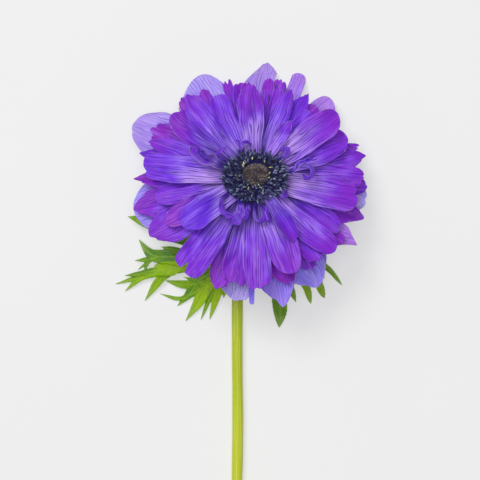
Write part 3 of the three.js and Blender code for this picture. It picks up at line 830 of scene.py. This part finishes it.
# ---- Small inner petals --------------------------------------------------------------------
# Half-grown petals between the front ones, and the curled, rolled strips beside the stamens:
# stamens that have turned to petals, fixed to the rim of the seat.
small_petals = [
    dict(at=(302, 32, 7.4, 8.8), claw=0.6, cup=0.4, lift=2.2, tip=0.3, notches=[], tint=(0.3, 0.4, 0.1),
         painted_shade=0.4),
    dict(at=(58, 29, 5.6, 7.9), claw=0.7, cup=0.3, curl=1.8, tip=0.9, notches=[], tint=(0.3, 0.3, 0.5),
         painted_shade=0.0),
    dict(at=(50.5, 37.4, 5.2, 6.4), claw=0.6, curl=0.8, tip=0.1, notches=[], tint=(0.1, 0.6, 0.3)),
    dict(at=(83, 39, 4, 6.0), claw=0.7, tint=(0.3, 0.3, 0)),
    dict(at=(73.5, 41, 5.6, 4.4), claw=0.6, notches=[(0.2, 1.2, 0.15)], tint=(0.4, 0.2, 0)),
    dict(at=(18, 48.4, 6, 2.0), claw=0.6, tip=0.8, notches=[(0.2, 1.4, 0.15)], tint=(0.5, 0, 0)),
    dict(at=(74.5, 45.8, 7.4, 1.6), claw=0.6, tip=0.2, notches=[(0.3, 1.2, 0.15), (-0.3, 0.8, 0.15)],
         tint=(0.5, 0, 0.7)),
    dict(at=(265.5, 42, 5, 5.0), claw=0.8, tint=(0.3, 0.3, 0.2)),
    dict(at=(150, 36, 5.5, 2.6), claw=0.6, bend=2, tint=(0.2, 0.4, 0.1)),
    dict(at=(329, 43, 10, 5.0), claw=0.6, tint=(0.3, 0.3, 0.05)),
    dict(at=(94, 42.2, 8, 4.8), claw=0.6, notches=[(-0.2, 1.3, 0.14), (0.4, 1.1, 0.14)],
         tint=(0.7, 0, 0.7)),
]
for number, leaf in enumerate(small_petals, 1):
    name = f"small_petal_{number:02d}"
    place(name, petal_mesh(name, leaf, seed=200 + number), petal_skin, "petal")


SEAT_LEVEL = 8.7
STRIP_ROWS = 60
STRIP_COLUMNS = 17
STRIP_MARGIN = 0.12
STRIP_RIDGE = 0.13


def curled_strip(name, strip, seed):
    """A narrow petal strip that follows a curled route, its sides rolled up or turned under."""
    rng = np.random.default_rng(seed)
    middle_line = smooth_route(strip["route"], STRIP_ROWS)
    middle_line[:, 2] += face_height(middle_line[:, 0], middle_line[:, 1], SEAT_LEVEL)
    forward = unit(np.gradient(middle_line, axis=0))
    up = unit(np.array([LEAN_SIDE, LEAN_BACK, 1.0]))
    side = unit(np.cross(forward, up))
    normal = np.cross(side, forward)
    u, t = np.meshgrid(np.linspace(-1, 1, STRIP_COLUMNS), np.linspace(0, 1, STRIP_ROWS))
    first, last = strip.get("twist", (0, 0))
    twist = np.radians(first * (1 - t) + last * t)
    roll = strip.get("roll", -1.2)
    half = 0.5 * strip["width"] * (0.6 + 0.4 * smooth(t / 0.4))
    half = half * (1 - 0.7 * smooth((t - 0.8) / 0.2) ** 2)
    right = (u > 0).astype(int)
    half = half * (1 + 0.16 * np.sin(t * rng.uniform(14, 20) + rng.uniform(0, 6, 2)[right]))
    flat = half * np.sin(u * roll) / roll
    groove = 0.16 * strip["width"] ** 0.5 * np.exp(-((u / 0.22) ** 2))
    rise = half * (1 - np.cos(u * roll)) / roll - groove
    rise += 0.12 * np.sin(t * rng.uniform(22, 30) + 3 * u + rng.uniform(0, 6)) * smooth(t * 4)
    turned = flat * np.cos(twist) - rise * np.sin(twist)
    lifted = flat * np.sin(twist) + rise * np.cos(twist)
    aside = turned[..., None] * side[:, None] + lifted[..., None] * normal[:, None]
    middle = middle_line[:, None] + aside
    thickness = STRIP_MARGIN + STRIP_RIDGE * (1 - u**4)
    magenta, blue, pale = strip.get("tint", (0.2, 0.4, 0.3))
    skin = np.stack([u * 0.5 * strip["width"], 0.25 + 0.6 * t, np.full_like(u, seed * 2.9)], -1)
    tint = np.stack(np.broadcast_arrays(magenta, blue, pale, u)[:3], -1)
    # Painted shade inside the rolled strip and at its foot by the seat.
    off_hollow = np.abs(u - strip.get("hollow_shade_at", 0))
    hollow_shade = strip.get("hollow_shade", 0.45) * smooth((0.8 - off_hollow) / 0.5) * smooth(t * 3)
    marks = {
        "skin": skin,
        # Painted highlight: the rims of the rolled sides, paled by the finish.
        "rim_highlight": 2.4 * np.abs(u) ** 5,
        "tint": tint,
        "crease": np.zeros_like(u),
        "painted_shade": np.maximum(hollow_shade, 0.95 * smooth((0.4 - t) / 0.3)),
    }
    return blade_mesh(name, middle, thickness, marks)


# route: (x, y) in mm from the middle of the face and the height above the stamens' seat. roll:
# how far the sides are rolled up (above 0) or turned under (below 0), as an angle in radians.
# twist: degrees of turn at the foot and at the tip. tint: as for the petals. hollow_shade,
# hollow_shade_at: how dark the painted shade inside the strip is, and how far to one side it lies.
curled_strips = [
    dict(route=[(-5, 9.8, 0), (-5.4, 12, 1.4), (-5.6, 14.2, 2), (-3.8, 14.9, 2), (-1.5, 13.8, 1)],
         width=1.7),
    dict(route=[(-6.8, 9.4, 0), (-6.4, 12, 1.4), (-6.8, 14.2, 1.8), (-8.2, 15.6, 1.2)], width=1.9,
         roll=1.1),
    dict(route=[(-11.2, 6, 0), (-15.4, 8.2, 2.4), (-15.6, 10.6, 3), (-12.2, 12.4, 2.2)], width=2.6,
         twist=(0, 40)),
    dict(route=[(-12.6, 3.2, 0.6), (-17.4, 5.2, 1.8), (-21.6, 6.8, 2.4), (-24.6, 9.2, 2.4),
                (-24.2, 12.2, 1.6)], width=7.8, roll=1.5, twist=(-10, 10), tint=(0.3, 0.1, 1.0),
         hollow_shade=0.75, hollow_shade_at=0.4, ),
    dict(route=[(9.6, 6.8, 0.4), (12, 8.4, 2.6), (13.8, 10.6, 3.4), (12.6, 12, 3), (11, 10.8, 2)],
         width=3.2, tint=(0.1, 0.5, 0.6), ),
    dict(route=[(13.2, 0.8, 0.4), (16.8, 2.4, 2), (18.7, 5.3, 2.8), (21.4, 6.2, 3), (24.6, 7.4, 2.6)],
         width=2.4, roll=1.2, tint=(0, 0.6, 0.2), ),
    dict(route=[(14, 1.8, 0.4), (17.5, 3.8, 2.4), (21, 5, 3.2), (24.2, 3.4, 3.2), (24.2, 0.2, 2.6),
                (21.6, -1, 2), (20, 1, 1.6)], width=2.2, twist=(0, 30), tint=(0.1, 0.5, 0.4), ),
    dict(route=[(10.6, -3.2, 0.2), (11.2, -6, 2.2), (11.4, -8.6, 2.8), (13, -8.4, 2.4), (13.4, -6, 1.2)],
         width=1.8),
    dict(route=[(-11, -6.8, 0), (-14, -10, 2), (-14.4, -13.4, 3), (-12.2, -16.4, 3.2), (-9, -18, 2.4)],
         width=3.2, twist=(0, -20), tint=(0.1, 0.4, 0.3), ),
    dict(route=[(-6.4, -10, 0.2), (-6.2, -13.6, 2.8), (-7.2, -17, 3.8), (-9.8, -20.6, 3)], width=5,
         roll=-1.0, twist=(0, -20), tint=(0.1, 0.4, 0.35), ),
    dict(route=[(-3, -10.4, 0.2), (-3, -13.6, 2.4), (-3.8, -16.4, 3), (-4.6, -19, 2.2)], width=2.8,
         tint=(0.2, 0.5, 0.1)),
    dict(route=[(0.2, -11, 0.2), (-0.4, -14.6, 2.8), (0.4, -18.2, 3.6), (2.8, -19, 3.4), (4, -15.8, 2.6),
                (3.4, -12.8, 1.4)], width=2.1, tint=(0.1, 0.4, 0.3), ),
    dict(route=[(4.4, -10.4, 0.2), (5.4, -13.6, 2.4), (5.4, -16.6, 3.2), (6.6, -19.4, 2.4)], width=3,
         twist=(0, 30)),
]
for number, strip in enumerate(curled_strips, 1):
    name = f"curled_strip_{number:02d}"
    place(name, curled_strip(name, strip, seed=300 + number), petal_skin, "petal")


# ---- Stamens -------------------------------------------------------------------------------
# A dense ring of some four hundred stamens round the pistils: dark threads that stand in a
# navy felted seat, each with a grooved, blue-grey anther that points outwards. A few small
# ones inside the ring have pale yellow pollen on them.
RING_SQUASH = 0.78
RING_SHIFT = (-0.3, -1.0)
RING_RIM = 15
RING_HOLE = 7.2
PISTIL_SHIFT = (0.5, 0.8)

stamen_skin, n, shader = new_finish("anther skin", 0.6, sheen=0.25)
tone = n.attribute("tone")
body = n.attribute("body")
place_on = n.object_place()
dust = n.noise(place_on, 2600.0, 2.0)
color = n.ramp(
    n.plus(tone, n.times(n.minus(dust, 0.5), 0.6)),
    [
        (0.0, (16, 16, 58)),
        (0.4, (34, 40, 90)),
        (0.75, (72, 82, 126)),
        (1.0, (134, 144, 172)),
    ],
)
color = n.blend(body, rgb(22, 12, 74), color)
coat(n, shader, color, n.bump(dust, 0.12, 0.6))

seat_skin, n, shader = new_finish("seat felt", 0.8, sheen=0.2)
place_on = n.object_place()
felt = n.noise(place_on, 1500.0, 3.0)
color = n.blend(n.range(felt, 0.35, 0.65), rgb(10, 4, 48), rgb(30, 14, 104))
coat(n, shader, color, n.bump(felt, 0.3, 0.8))

fleck_skin, n, shader = new_finish("pollen", 0.7, 0.1, (1, 1, 0.5), 0.3)
tone = n.attribute("tone")
place_on = n.object_place()
dust = n.noise(place_on, 3000.0, 2.0)
color = n.blend(tone, rgb(150, 156, 110), rgb(222, 222, 150))
color = n.blend(n.range(dust, 0.45, 0.7), color, rgb(176, 180, 170))
color = n.blend(n.attribute("body"), rgb(40, 24, 100), color)
coat(n, shader, color)


def ring_place(radius, angle, above):
    """A point of the leaned ring in mm: the inner side of the ring is round the pistils."""
    x = radius * np.cos(angle)
    y = radius * np.sin(angle) * RING_SQUASH
    inward = (RING_RIM - radius) / (RING_RIM - RING_HOLE)
    x = x + PISTIL_SHIFT[0] * inward + RING_SHIFT[0] * (1 - inward)
    y = y + PISTIL_SHIFT[1] * inward + RING_SHIFT[1] * (1 - inward)
    return np.stack([x, y, face_height(x, y, SEAT_LEVEL) + above], -1)


def ring_skin(profile, around, closed):
    """The ring's surface from (radius, height) pairs, all round its tube or open."""
    angle = np.linspace(0, 2 * math.pi, around, endpoint=False)
    points = np.concatenate([ring_place(radius, angle, above) for radius, above in profile])
    faces = wrapped_faces(len(profile), around, closed_rows=closed)
    if not closed:
        faces = faces[:-2]
    return points, faces


SEAT_AROUND = 96
seat_profile = [(5.2, -0.4), (5.3, 0.5), (6.2, 1.0), (8.5, 1.1), (11, 1.0), (13, 0.6)]
seat_profile += [(13.8, 0.1), (13.2, -0.2), (9, -0.3)]
points, faces = ring_skin(seat_profile, SEAT_AROUND, True)
seat_mesh = solid_mesh("stamen_seat", points, faces, {})
place("stamen_seat", seat_mesh, seat_skin, "stamen", "stamen_ring")


def new_growth(name, inputs):
    """An empty node tree for growing small parts, with a socket for each named input."""
    tree = bpy.data.node_groups.new(name, "GeometryNodeTree")
    tree.interface.new_socket("Geometry", in_out="INPUT", socket_type="NodeSocketGeometry")
    for key, kind in inputs.items():
        tree.interface.new_socket(key, in_out="INPUT", socket_type="NodeSocket" + kind)
    tree.interface.new_socket("Geometry", in_out="OUTPUT", socket_type="NodeSocketGeometry")
    n = Nodes(tree)
    return n, n.add("NodeGroupInput").outputs


def grow(name, tree, points, faces, values):
    """Runs a node tree on a helper surface and returns what it grows as a plain mesh."""
    base = bpy.data.meshes.new(name + " base")
    base.from_pydata(to_frame(points).tolist(), [], faces)
    helper = scene_object(name + " base", base)
    growth = helper.modifiers.new("growth", "NODES")
    growth.node_group = tree
    for item in tree.interface.items_tree:
        if item.in_out == "INPUT" and item.name in values:
            growth[item.identifier] = values[item.name]
    return plain_mesh(helper)


def random_in(n, low, high, seed):
    node = n.add("FunctionNodeRandomValue", {2: low, 3: high, "Seed": seed}, data_type="FLOAT")
    return node.outputs[1]


def marked(n, geometry, name, value, domain="POINT"):
    """The geometry with a named number on it, for its finish to read."""
    values = {"Geometry": geometry, "Name": name, "Value": value}
    kind = "GeometryNodeStoreNamedAttribute"
    return n.add(kind, values, data_type="FLOAT", domain=domain).outputs[0]


def swept(n, line, profile, width):
    """A skin with closed ends: the profile drawn along the line, `width` times its size."""
    values = {"Curve": line, "Profile Curve": profile, "Scale": width, "Fill Caps": True}
    return n.add("GeometryNodeCurveToMesh", values).outputs[0]


def circle(n, sides):
    values = {"Resolution": sides, "Radius": 1.0}
    return n.add("GeometryNodeCurvePrimitiveCircle", values).outputs[0]


def line_of(n, start, end, count):
    line = n.add("GeometryNodeCurvePrimitiveLine", {"Start": start, "End": end}).outputs[0]
    return n.add("GeometryNodeResampleCurve", {"Curve": line, "Count": count}).outputs[0]


def finish_growth(n, standing, tone, material):
    """Ends a tree: every grown part gets its tone, and all become one plain, smooth mesh."""
    toned = marked(n, standing, "tone", tone, "INSTANCE")
    real = n.add("GeometryNodeRealizeInstances", {"Geometry": toned}).outputs[0]
    soft = n.add("GeometryNodeSetShadeSmooth", {"Geometry": real}).outputs[0]
    painted = n.add("GeometryNodeSetMaterial", {"Geometry": soft, "Material": material})
    n.add("NodeGroupOutput", {"Geometry": painted.outputs[0]})
    return n.tree


SEATS_PER_M2 = 4.0e6


def stamen_growth():
    """Stamens over a surface: a bent thread and a grooved anther, all turned outwards."""
    inputs = {
        "Spacing": "Float",
        "Middle": "Vector",
        "Face normal": "Vector",
        "Thread height": "Float",
        "Anther length": "Float",
        "Anther width": "Float",
        "Inner radius": "Float",
        "Outer radius": "Float",
        "Inner tilt": "Float",
        "Seed": "Int",
        "Material": "Material",
    }
    n, given = new_growth("stamens", inputs)
    height, length, width = given["Thread height"], given["Anther length"], given["Anther width"]

    # One stamen, its foot at the origin and its anther along X.
    share = n.add("GeometryNodeSplineParameter").outputs["Factor"]
    reach = n.times(height, 0.4)
    knee = n.combine(n.times(height, 0.05), 0.0, n.times(height, 0.75))
    top = n.combine(reach, 0.0, height)
    foot = n.combine(0.0, 0.0, n.times(height, -0.3))
    values = {"Resolution": 4, "Start": foot, "Middle": knee, "End": top}
    arc = n.add("GeometryNodeCurveQuadraticBezier", values).outputs[0]
    thread = marked(n, swept(n, arc, circle(n, 5), n.times(width, 0.16)), "body", 0.0)
    start = n.combine(n.minus(reach, n.times(length, 0.18)), 0.0, height)
    rise = n.plus(height, n.times(length, 0.22))
    end = n.combine(n.plus(reach, n.times(length, 0.8)), 0.0, rise)
    spot = n.add("GeometryNodeInputPosition").outputs[0]
    x, y, _ = n.separate(spot)[:3]
    pinch = n.plus(n.times(n.times(x, x), 0.45), 0.55)
    pinched = n.combine(n.times(x, pinch), n.times(y, pinch), 0.0)
    values = {"Geometry": circle(n, 10), "Position": pinched}
    grooved = n.add("GeometryNodeSetPosition", values).outputs[0]
    ends = n.math("ABSOLUTE", n.minus(n.times(share, 2.0), 1.0))
    full = n.minus(1.0, n.math("POWER", ends, 3.2))
    swell = n.times(n.math("SQRT", n.math("MAXIMUM", full, 0.04)), n.times(width, 0.5))
    anther = marked(n, swept(n, line_of(n, start, end, 7), grooved, swell), "body", 1.0)
    stamen = n.add("GeometryNodeJoinGeometry")
    n.tree.links.new(thread, stamen.inputs[0])
    n.tree.links.new(anther, stamen.inputs[0])

    # Where they stand and how they lean.
    values = {
        "Mesh": given["Geometry"],
        "Distance Min": given["Spacing"],
        "Density Max": SEATS_PER_M2,
        "Seed": given["Seed"],
    }
    kind = "GeometryNodeDistributePointsOnFaces"
    seats = n.add(kind, values, distribute_method="POISSON").outputs["Points"]
    here = n.add("GeometryNodeInputPosition").outputs[0]
    from_middle = n.vector("SUBTRACT", here, given["Middle"])
    unsquashed = n.vector("MULTIPLY", from_middle, (1.0, 1 / RING_SQUASH, 0.0))
    distance = n.add("ShaderNodeVectorMath", {0: unsquashed}, operation="LENGTH").outputs["Value"]
    inward = n.range(distance, given["Outer radius"], given["Inner radius"])
    align = "FunctionNodeAlignRotationToVector"
    upright = n.add(align, {"Vector": given["Face normal"]}, axis="Z").outputs[0]
    level_way = n.vector("MULTIPLY", from_middle, (1.0, 1.0, 0.0))
    values = {"Rotation": upright, "Vector": level_way}
    outward = n.add(align, values, axis="X", pivot_axis="Z").outputs[0]
    tilt = n.times(n.times(inward, given["Inner tilt"]), -1.0)
    lean = n.combine(
        random_in(n, -0.6, 0.6, 11),
        n.plus(tilt, random_in(n, -0.3, 0.3, 12)),
        random_in(n, -0.8, 0.8, 13),
    )
    lean = n.add("FunctionNodeEulerToRotation", {0: lean}).outputs[0]
    values = {"Rotation": outward, "Rotate By": lean}
    turned = n.add("FunctionNodeRotateRotation", values, rotation_space="LOCAL").outputs[0]
    size = random_in(n, 0.75, 1.15, 14)
    standing = n.add(
        "GeometryNodeInstanceOnPoints",
        {
            "Points": seats,
            "Instance": stamen.outputs[0],
            "Rotation": turned,
            "Scale": n.combine(size, size, random_in(n, 0.75, 1.3, 15)),
        },
    )
    tone = random_in(n, 0.0, 1.0, 16)
    return finish_growth(n, standing.outputs[0], tone, given["Material"])


stamens = stamen_growth()
middle = ring_place(RING_RIM, np.array([0.0, math.pi]), 0).mean(axis=0)
ring_middle = to_frame(middle).tolist()
face_normal = (LEAN_SIDE, LEAN_BACK, 1.0)
SEAT_TOP = 1.0
BED_AROUND = 72
dark_stamens = {
    "Spacing": 0.6 * MM,
    "Thread height": 1.7 * MM,
    "Anther length": 1.8 * MM,
    "Anther width": 0.72 * MM,
    "Inner radius": 6.5 * MM,
    "Outer radius": 12.8 * MM,
    "Inner tilt": 0.75,
    "Seed": 4,
    "Material": stamen_skin,
}
yellow_stamens = {
    "Spacing": 1.5 * MM,
    "Thread height": 2.0 * MM,
    "Anther length": 1.3 * MM,
    "Anther width": 0.6 * MM,
    "Inner radius": 5.0 * MM,
    "Outer radius": 8.0 * MM,
    "Inner tilt": 0.2,
    "Seed": 7,
    "Material": fleck_skin,
}
for name, radii, values in (
    ("stamens", (6.6, 8, 9.5, 11, 12, 13), dark_stamens),
    ("pollen_stamens", (5.9, 6.6, 7.4), yellow_stamens),
):
    points, faces = ring_skin([(radius, SEAT_TOP) for radius in radii], BED_AROUND, False)
    values.update({"Middle": ring_middle, "Face normal": face_normal})
    grown = grow(name, stamens, points, faces, values)
    place(name, grown, values["Material"], "stamen", "stamen_ring")


# ---- Pistils -------------------------------------------------------------------------------
# The brown dome in the middle: more than a thousand tiny pointed pistils packed in a spiral
# on the top of the receptacle, their tips catching the light.
PISTIL_RADIUS = 6.3
PISTIL_HEIGHT = 6.6
PISTIL_BASE = 29.8
PISTIL_COUNT = 1300
DOME_SPREAD = 5.9
DOME_RISE = 6.2
DOME_SPREAD_Y = 4.7
GOLDEN_ANGLE = 137.508
DOME_ROWS = 24
DOME_AROUND = 64

dome_skin, n, shader = new_finish("dome felt", 0.75, sheen=0.2)
place_on = n.object_place()
felt = n.noise(place_on, 1300.0, 3.0)
color = n.blend(n.range(felt, 0.35, 0.65), rgb(30, 20, 26), rgb(66, 52, 54))
coat(n, shader, color, n.bump(felt, 0.3, 0.8))

pistil_skin, n, shader = new_finish("pistil skin", 0.55, sheen=0.3)
rise = n.attribute("rise")
tone = n.attribute("tone")
place_on = n.object_place()
patches = n.noise(place_on, 240.0, 2.0)
tip = n.blend(n.range(tone, 0.1, 0.9), rgb(72, 58, 74), rgb(204, 188, 184))
tip = n.blend(n.range(patches, 0.58, 0.42, 0.0, 0.8), tip, rgb(62, 48, 64))
color = n.blend(n.range(rise, 0.1, 0.95), rgb(28, 18, 30), tip)
coat(n, shader, color)

turn = np.linspace(0, 2 * math.pi, DOME_AROUND, endpoint=False)
rows = []
for a in np.linspace(0, 0.5 * math.pi, DOME_ROWS):
    r = PISTIL_RADIUS * 0.93 * max(math.cos(a) ** 0.8, 0.02)
    x = PISTIL_SHIFT[0] + r * np.cos(turn)
    y = PISTIL_SHIFT[1] + r * np.sin(turn) * RING_SQUASH
    z = PISTIL_BASE + PISTIL_HEIGHT * 0.94 * math.sin(a) - LEAN_BACK * y - LEAN_SIDE * x
    rows.append(np.stack([x, y, z], -1))
faces = wrapped_faces(DOME_ROWS, DOME_AROUND)
dome_mesh = solid_mesh("pistil_dome", np.concatenate(rows), faces, {})
place("pistil_dome_core", dome_mesh, dome_skin, "pistil", "pistil_dome")


def pistil_growth():
    """Pointed pistils set in a spiral over the dome, all round it and up to its top."""
    inputs = {
        "Count": "Int",
        "Middle": "Vector",
        "Radii": "Vector",
        "Length": "Float",
        "Width": "Float",
        "Material": "Material",
    }
    n, given = new_growth("pistils", inputs)
    index = n.add("GeometryNodeInputIndex").outputs[0]
    share = n.math("DIVIDE", n.plus(index, 0.5), given["Count"])
    turn = n.times(index, math.radians(GOLDEN_ANGLE))
    out = n.math("SQRT", n.minus(1.0, n.times(share, share)))
    x = n.times(out, n.math("COSINE", turn))
    y = n.times(out, n.math("SINE", turn))
    on_ball = n.combine(x, y, share)
    spot = n.vector("ADD", n.vector("MULTIPLY", on_ball, given["Radii"]), given["Middle"])
    lean = n.times(x, -LEAN_SIDE * PISTIL_RADIUS)
    lean = n.plus(lean, n.times(y, -LEAN_BACK * DOME_SPREAD_Y))
    spot = n.vector("ADD", spot, n.combine(0.0, 0.0, n.times(lean, MM)))
    points = n.add("GeometryNodePoints", {"Count": given["Count"], "Position": spot})
    line = line_of(n, (0, 0, 0), (0, 0, 1), 4)
    factor = n.add("GeometryNodeSplineParameter").outputs["Factor"]
    hook = n.combine(n.times(n.times(factor, factor), 0.45), 0.0, 0.0)
    bent = n.add("GeometryNodeSetPosition", {"Geometry": line, "Offset": hook}).outputs[0]
    slimness = n.math("DIVIDE", given["Width"], given["Length"])
    taper = n.times(n.minus(1.08, factor), slimness)
    spike = swept(n, marked(n, bent, "rise", factor), circle(n, 5), taper)
    normal = n.vector("DIVIDE", on_ball, (1.0, 0.8, 1.0))
    upright = n.add("FunctionNodeAlignRotationToVector", {"Vector": normal}, axis="Z").outputs[0]
    jitter = n.combine(random_in(n, -0.25, 0.25, 21), random_in(n, -0.25, 0.25, 22), 0.0)
    jitter = n.add("FunctionNodeEulerToRotation", {0: jitter}).outputs[0]
    values = {"Rotation": upright, "Rotate By": jitter}
    turned = n.add("FunctionNodeRotateRotation", values, rotation_space="LOCAL").outputs[0]
    size = n.times(given["Length"], random_in(n, 0.7, 1.15, 23))
    values = {"Points": points.outputs[0], "Instance": spike, "Rotation": turned, "Scale": size}
    standing = n.add("GeometryNodeInstanceOnPoints", values).outputs[0]
    # Painted shade: the tips darker towards the foot of the dome, where the ring of stamens shades them.
    shaded = n.math("MINIMUM", n.times(share, 1.8), 1.0)
    tone = n.times(random_in(n, 0.0, 1.0, 24), shaded)
    return finish_growth(n, standing, tone, given["Material"])


base_height = PISTIL_BASE - LEAN_BACK * PISTIL_SHIFT[1] - LEAN_SIDE * PISTIL_SHIFT[0]
dome_middle = np.array([*PISTIL_SHIFT, base_height])
grown = grow(
    "pistils",
    pistil_growth(),
    np.zeros((3, 3)),
    [(0, 1, 2)],
    {
        "Count": PISTIL_COUNT,
        "Middle": to_frame(dome_middle).tolist(),
        "Radii": [DOME_SPREAD * MM, DOME_SPREAD * RING_SQUASH * MM, DOME_RISE * MM],
        "Length": 0.6 * MM,
        "Width": 0.2 * MM,
        "Material": pistil_skin,
    },
)
place("pistils", grown, pistil_skin, "pistil", "pistil_dome")


# ---- Stage ---------------------------------------------------------------------------------
# A plain pale table, lit a little from inside so that shadows on it stay faint, under soft
# lights, and a camera that looks straight down on the face.
CAMERA_X = -6.45
CAMERA_Y = -27.1
CAMERA_HEIGHT = 598
LENS = 100
TABLE_HALF = 3.0
TABLE_GLOW = 0.42
ROOM_LIGHT = 0.28

table_paint, n, shader = new_finish("pale table", 0.9)
place_on = n.object_place()
color = n.blend(n.noise(place_on, 8.0), rgb(172, 172, 172), rgb(176, 176, 176))
coat(n, shader, color)
shader["Emission Color"].default_value = (1, 1, 1, 1)
shader["Emission Strength"].default_value = TABLE_GLOW
table_mesh = bpy.data.meshes.new("table")
corners = [(x, y, 0) for x, y in ((-1, -1), (1, -1), (1, 1), (-1, 1))]
corners = (TABLE_HALF * np.array(corners)).tolist()
table_mesh.from_pydata(corners, [], [(0, 1, 2, 3)])
table_mesh.materials.append(table_paint)
table = scene_object("table", table_mesh)

camera_data = bpy.data.cameras.new("camera")
camera_data.lens = LENS
camera = scene_object("camera", camera_data)
camera.location = ((face_x + CAMERA_X) * MM, (face_y + CAMERA_Y) * MM, CAMERA_HEIGHT * MM)
bpy.context.scene.camera = camera


def soft_light(name, stand, size, power):
    data = bpy.data.lights.new(name, "AREA")
    data.shape = "DISK"
    data.size = size
    data.energy = power
    light = scene_object(name, data)
    light.location = stand
    light.rotation_euler = Vector(stand).to_track_quat("Z", "Y").to_euler()


soft_light("key light", (-1.0, 1.3, 2.2), 1.2, 35.0)
soft_light("top light", (-0.05, 0.1, 2.7), 1.6, 30.0)
world = bpy.data.worlds.new("studio")
world.use_nodes = True
air = world.node_tree.nodes["Background"].inputs
air["Color"].default_value = (1, 1, 1, 1)
air["Strength"].default_value = ROOM_LIGHT
bpy.context.scene.world = world
bpy.context.scene.view_settings.view_transform = "Standard"
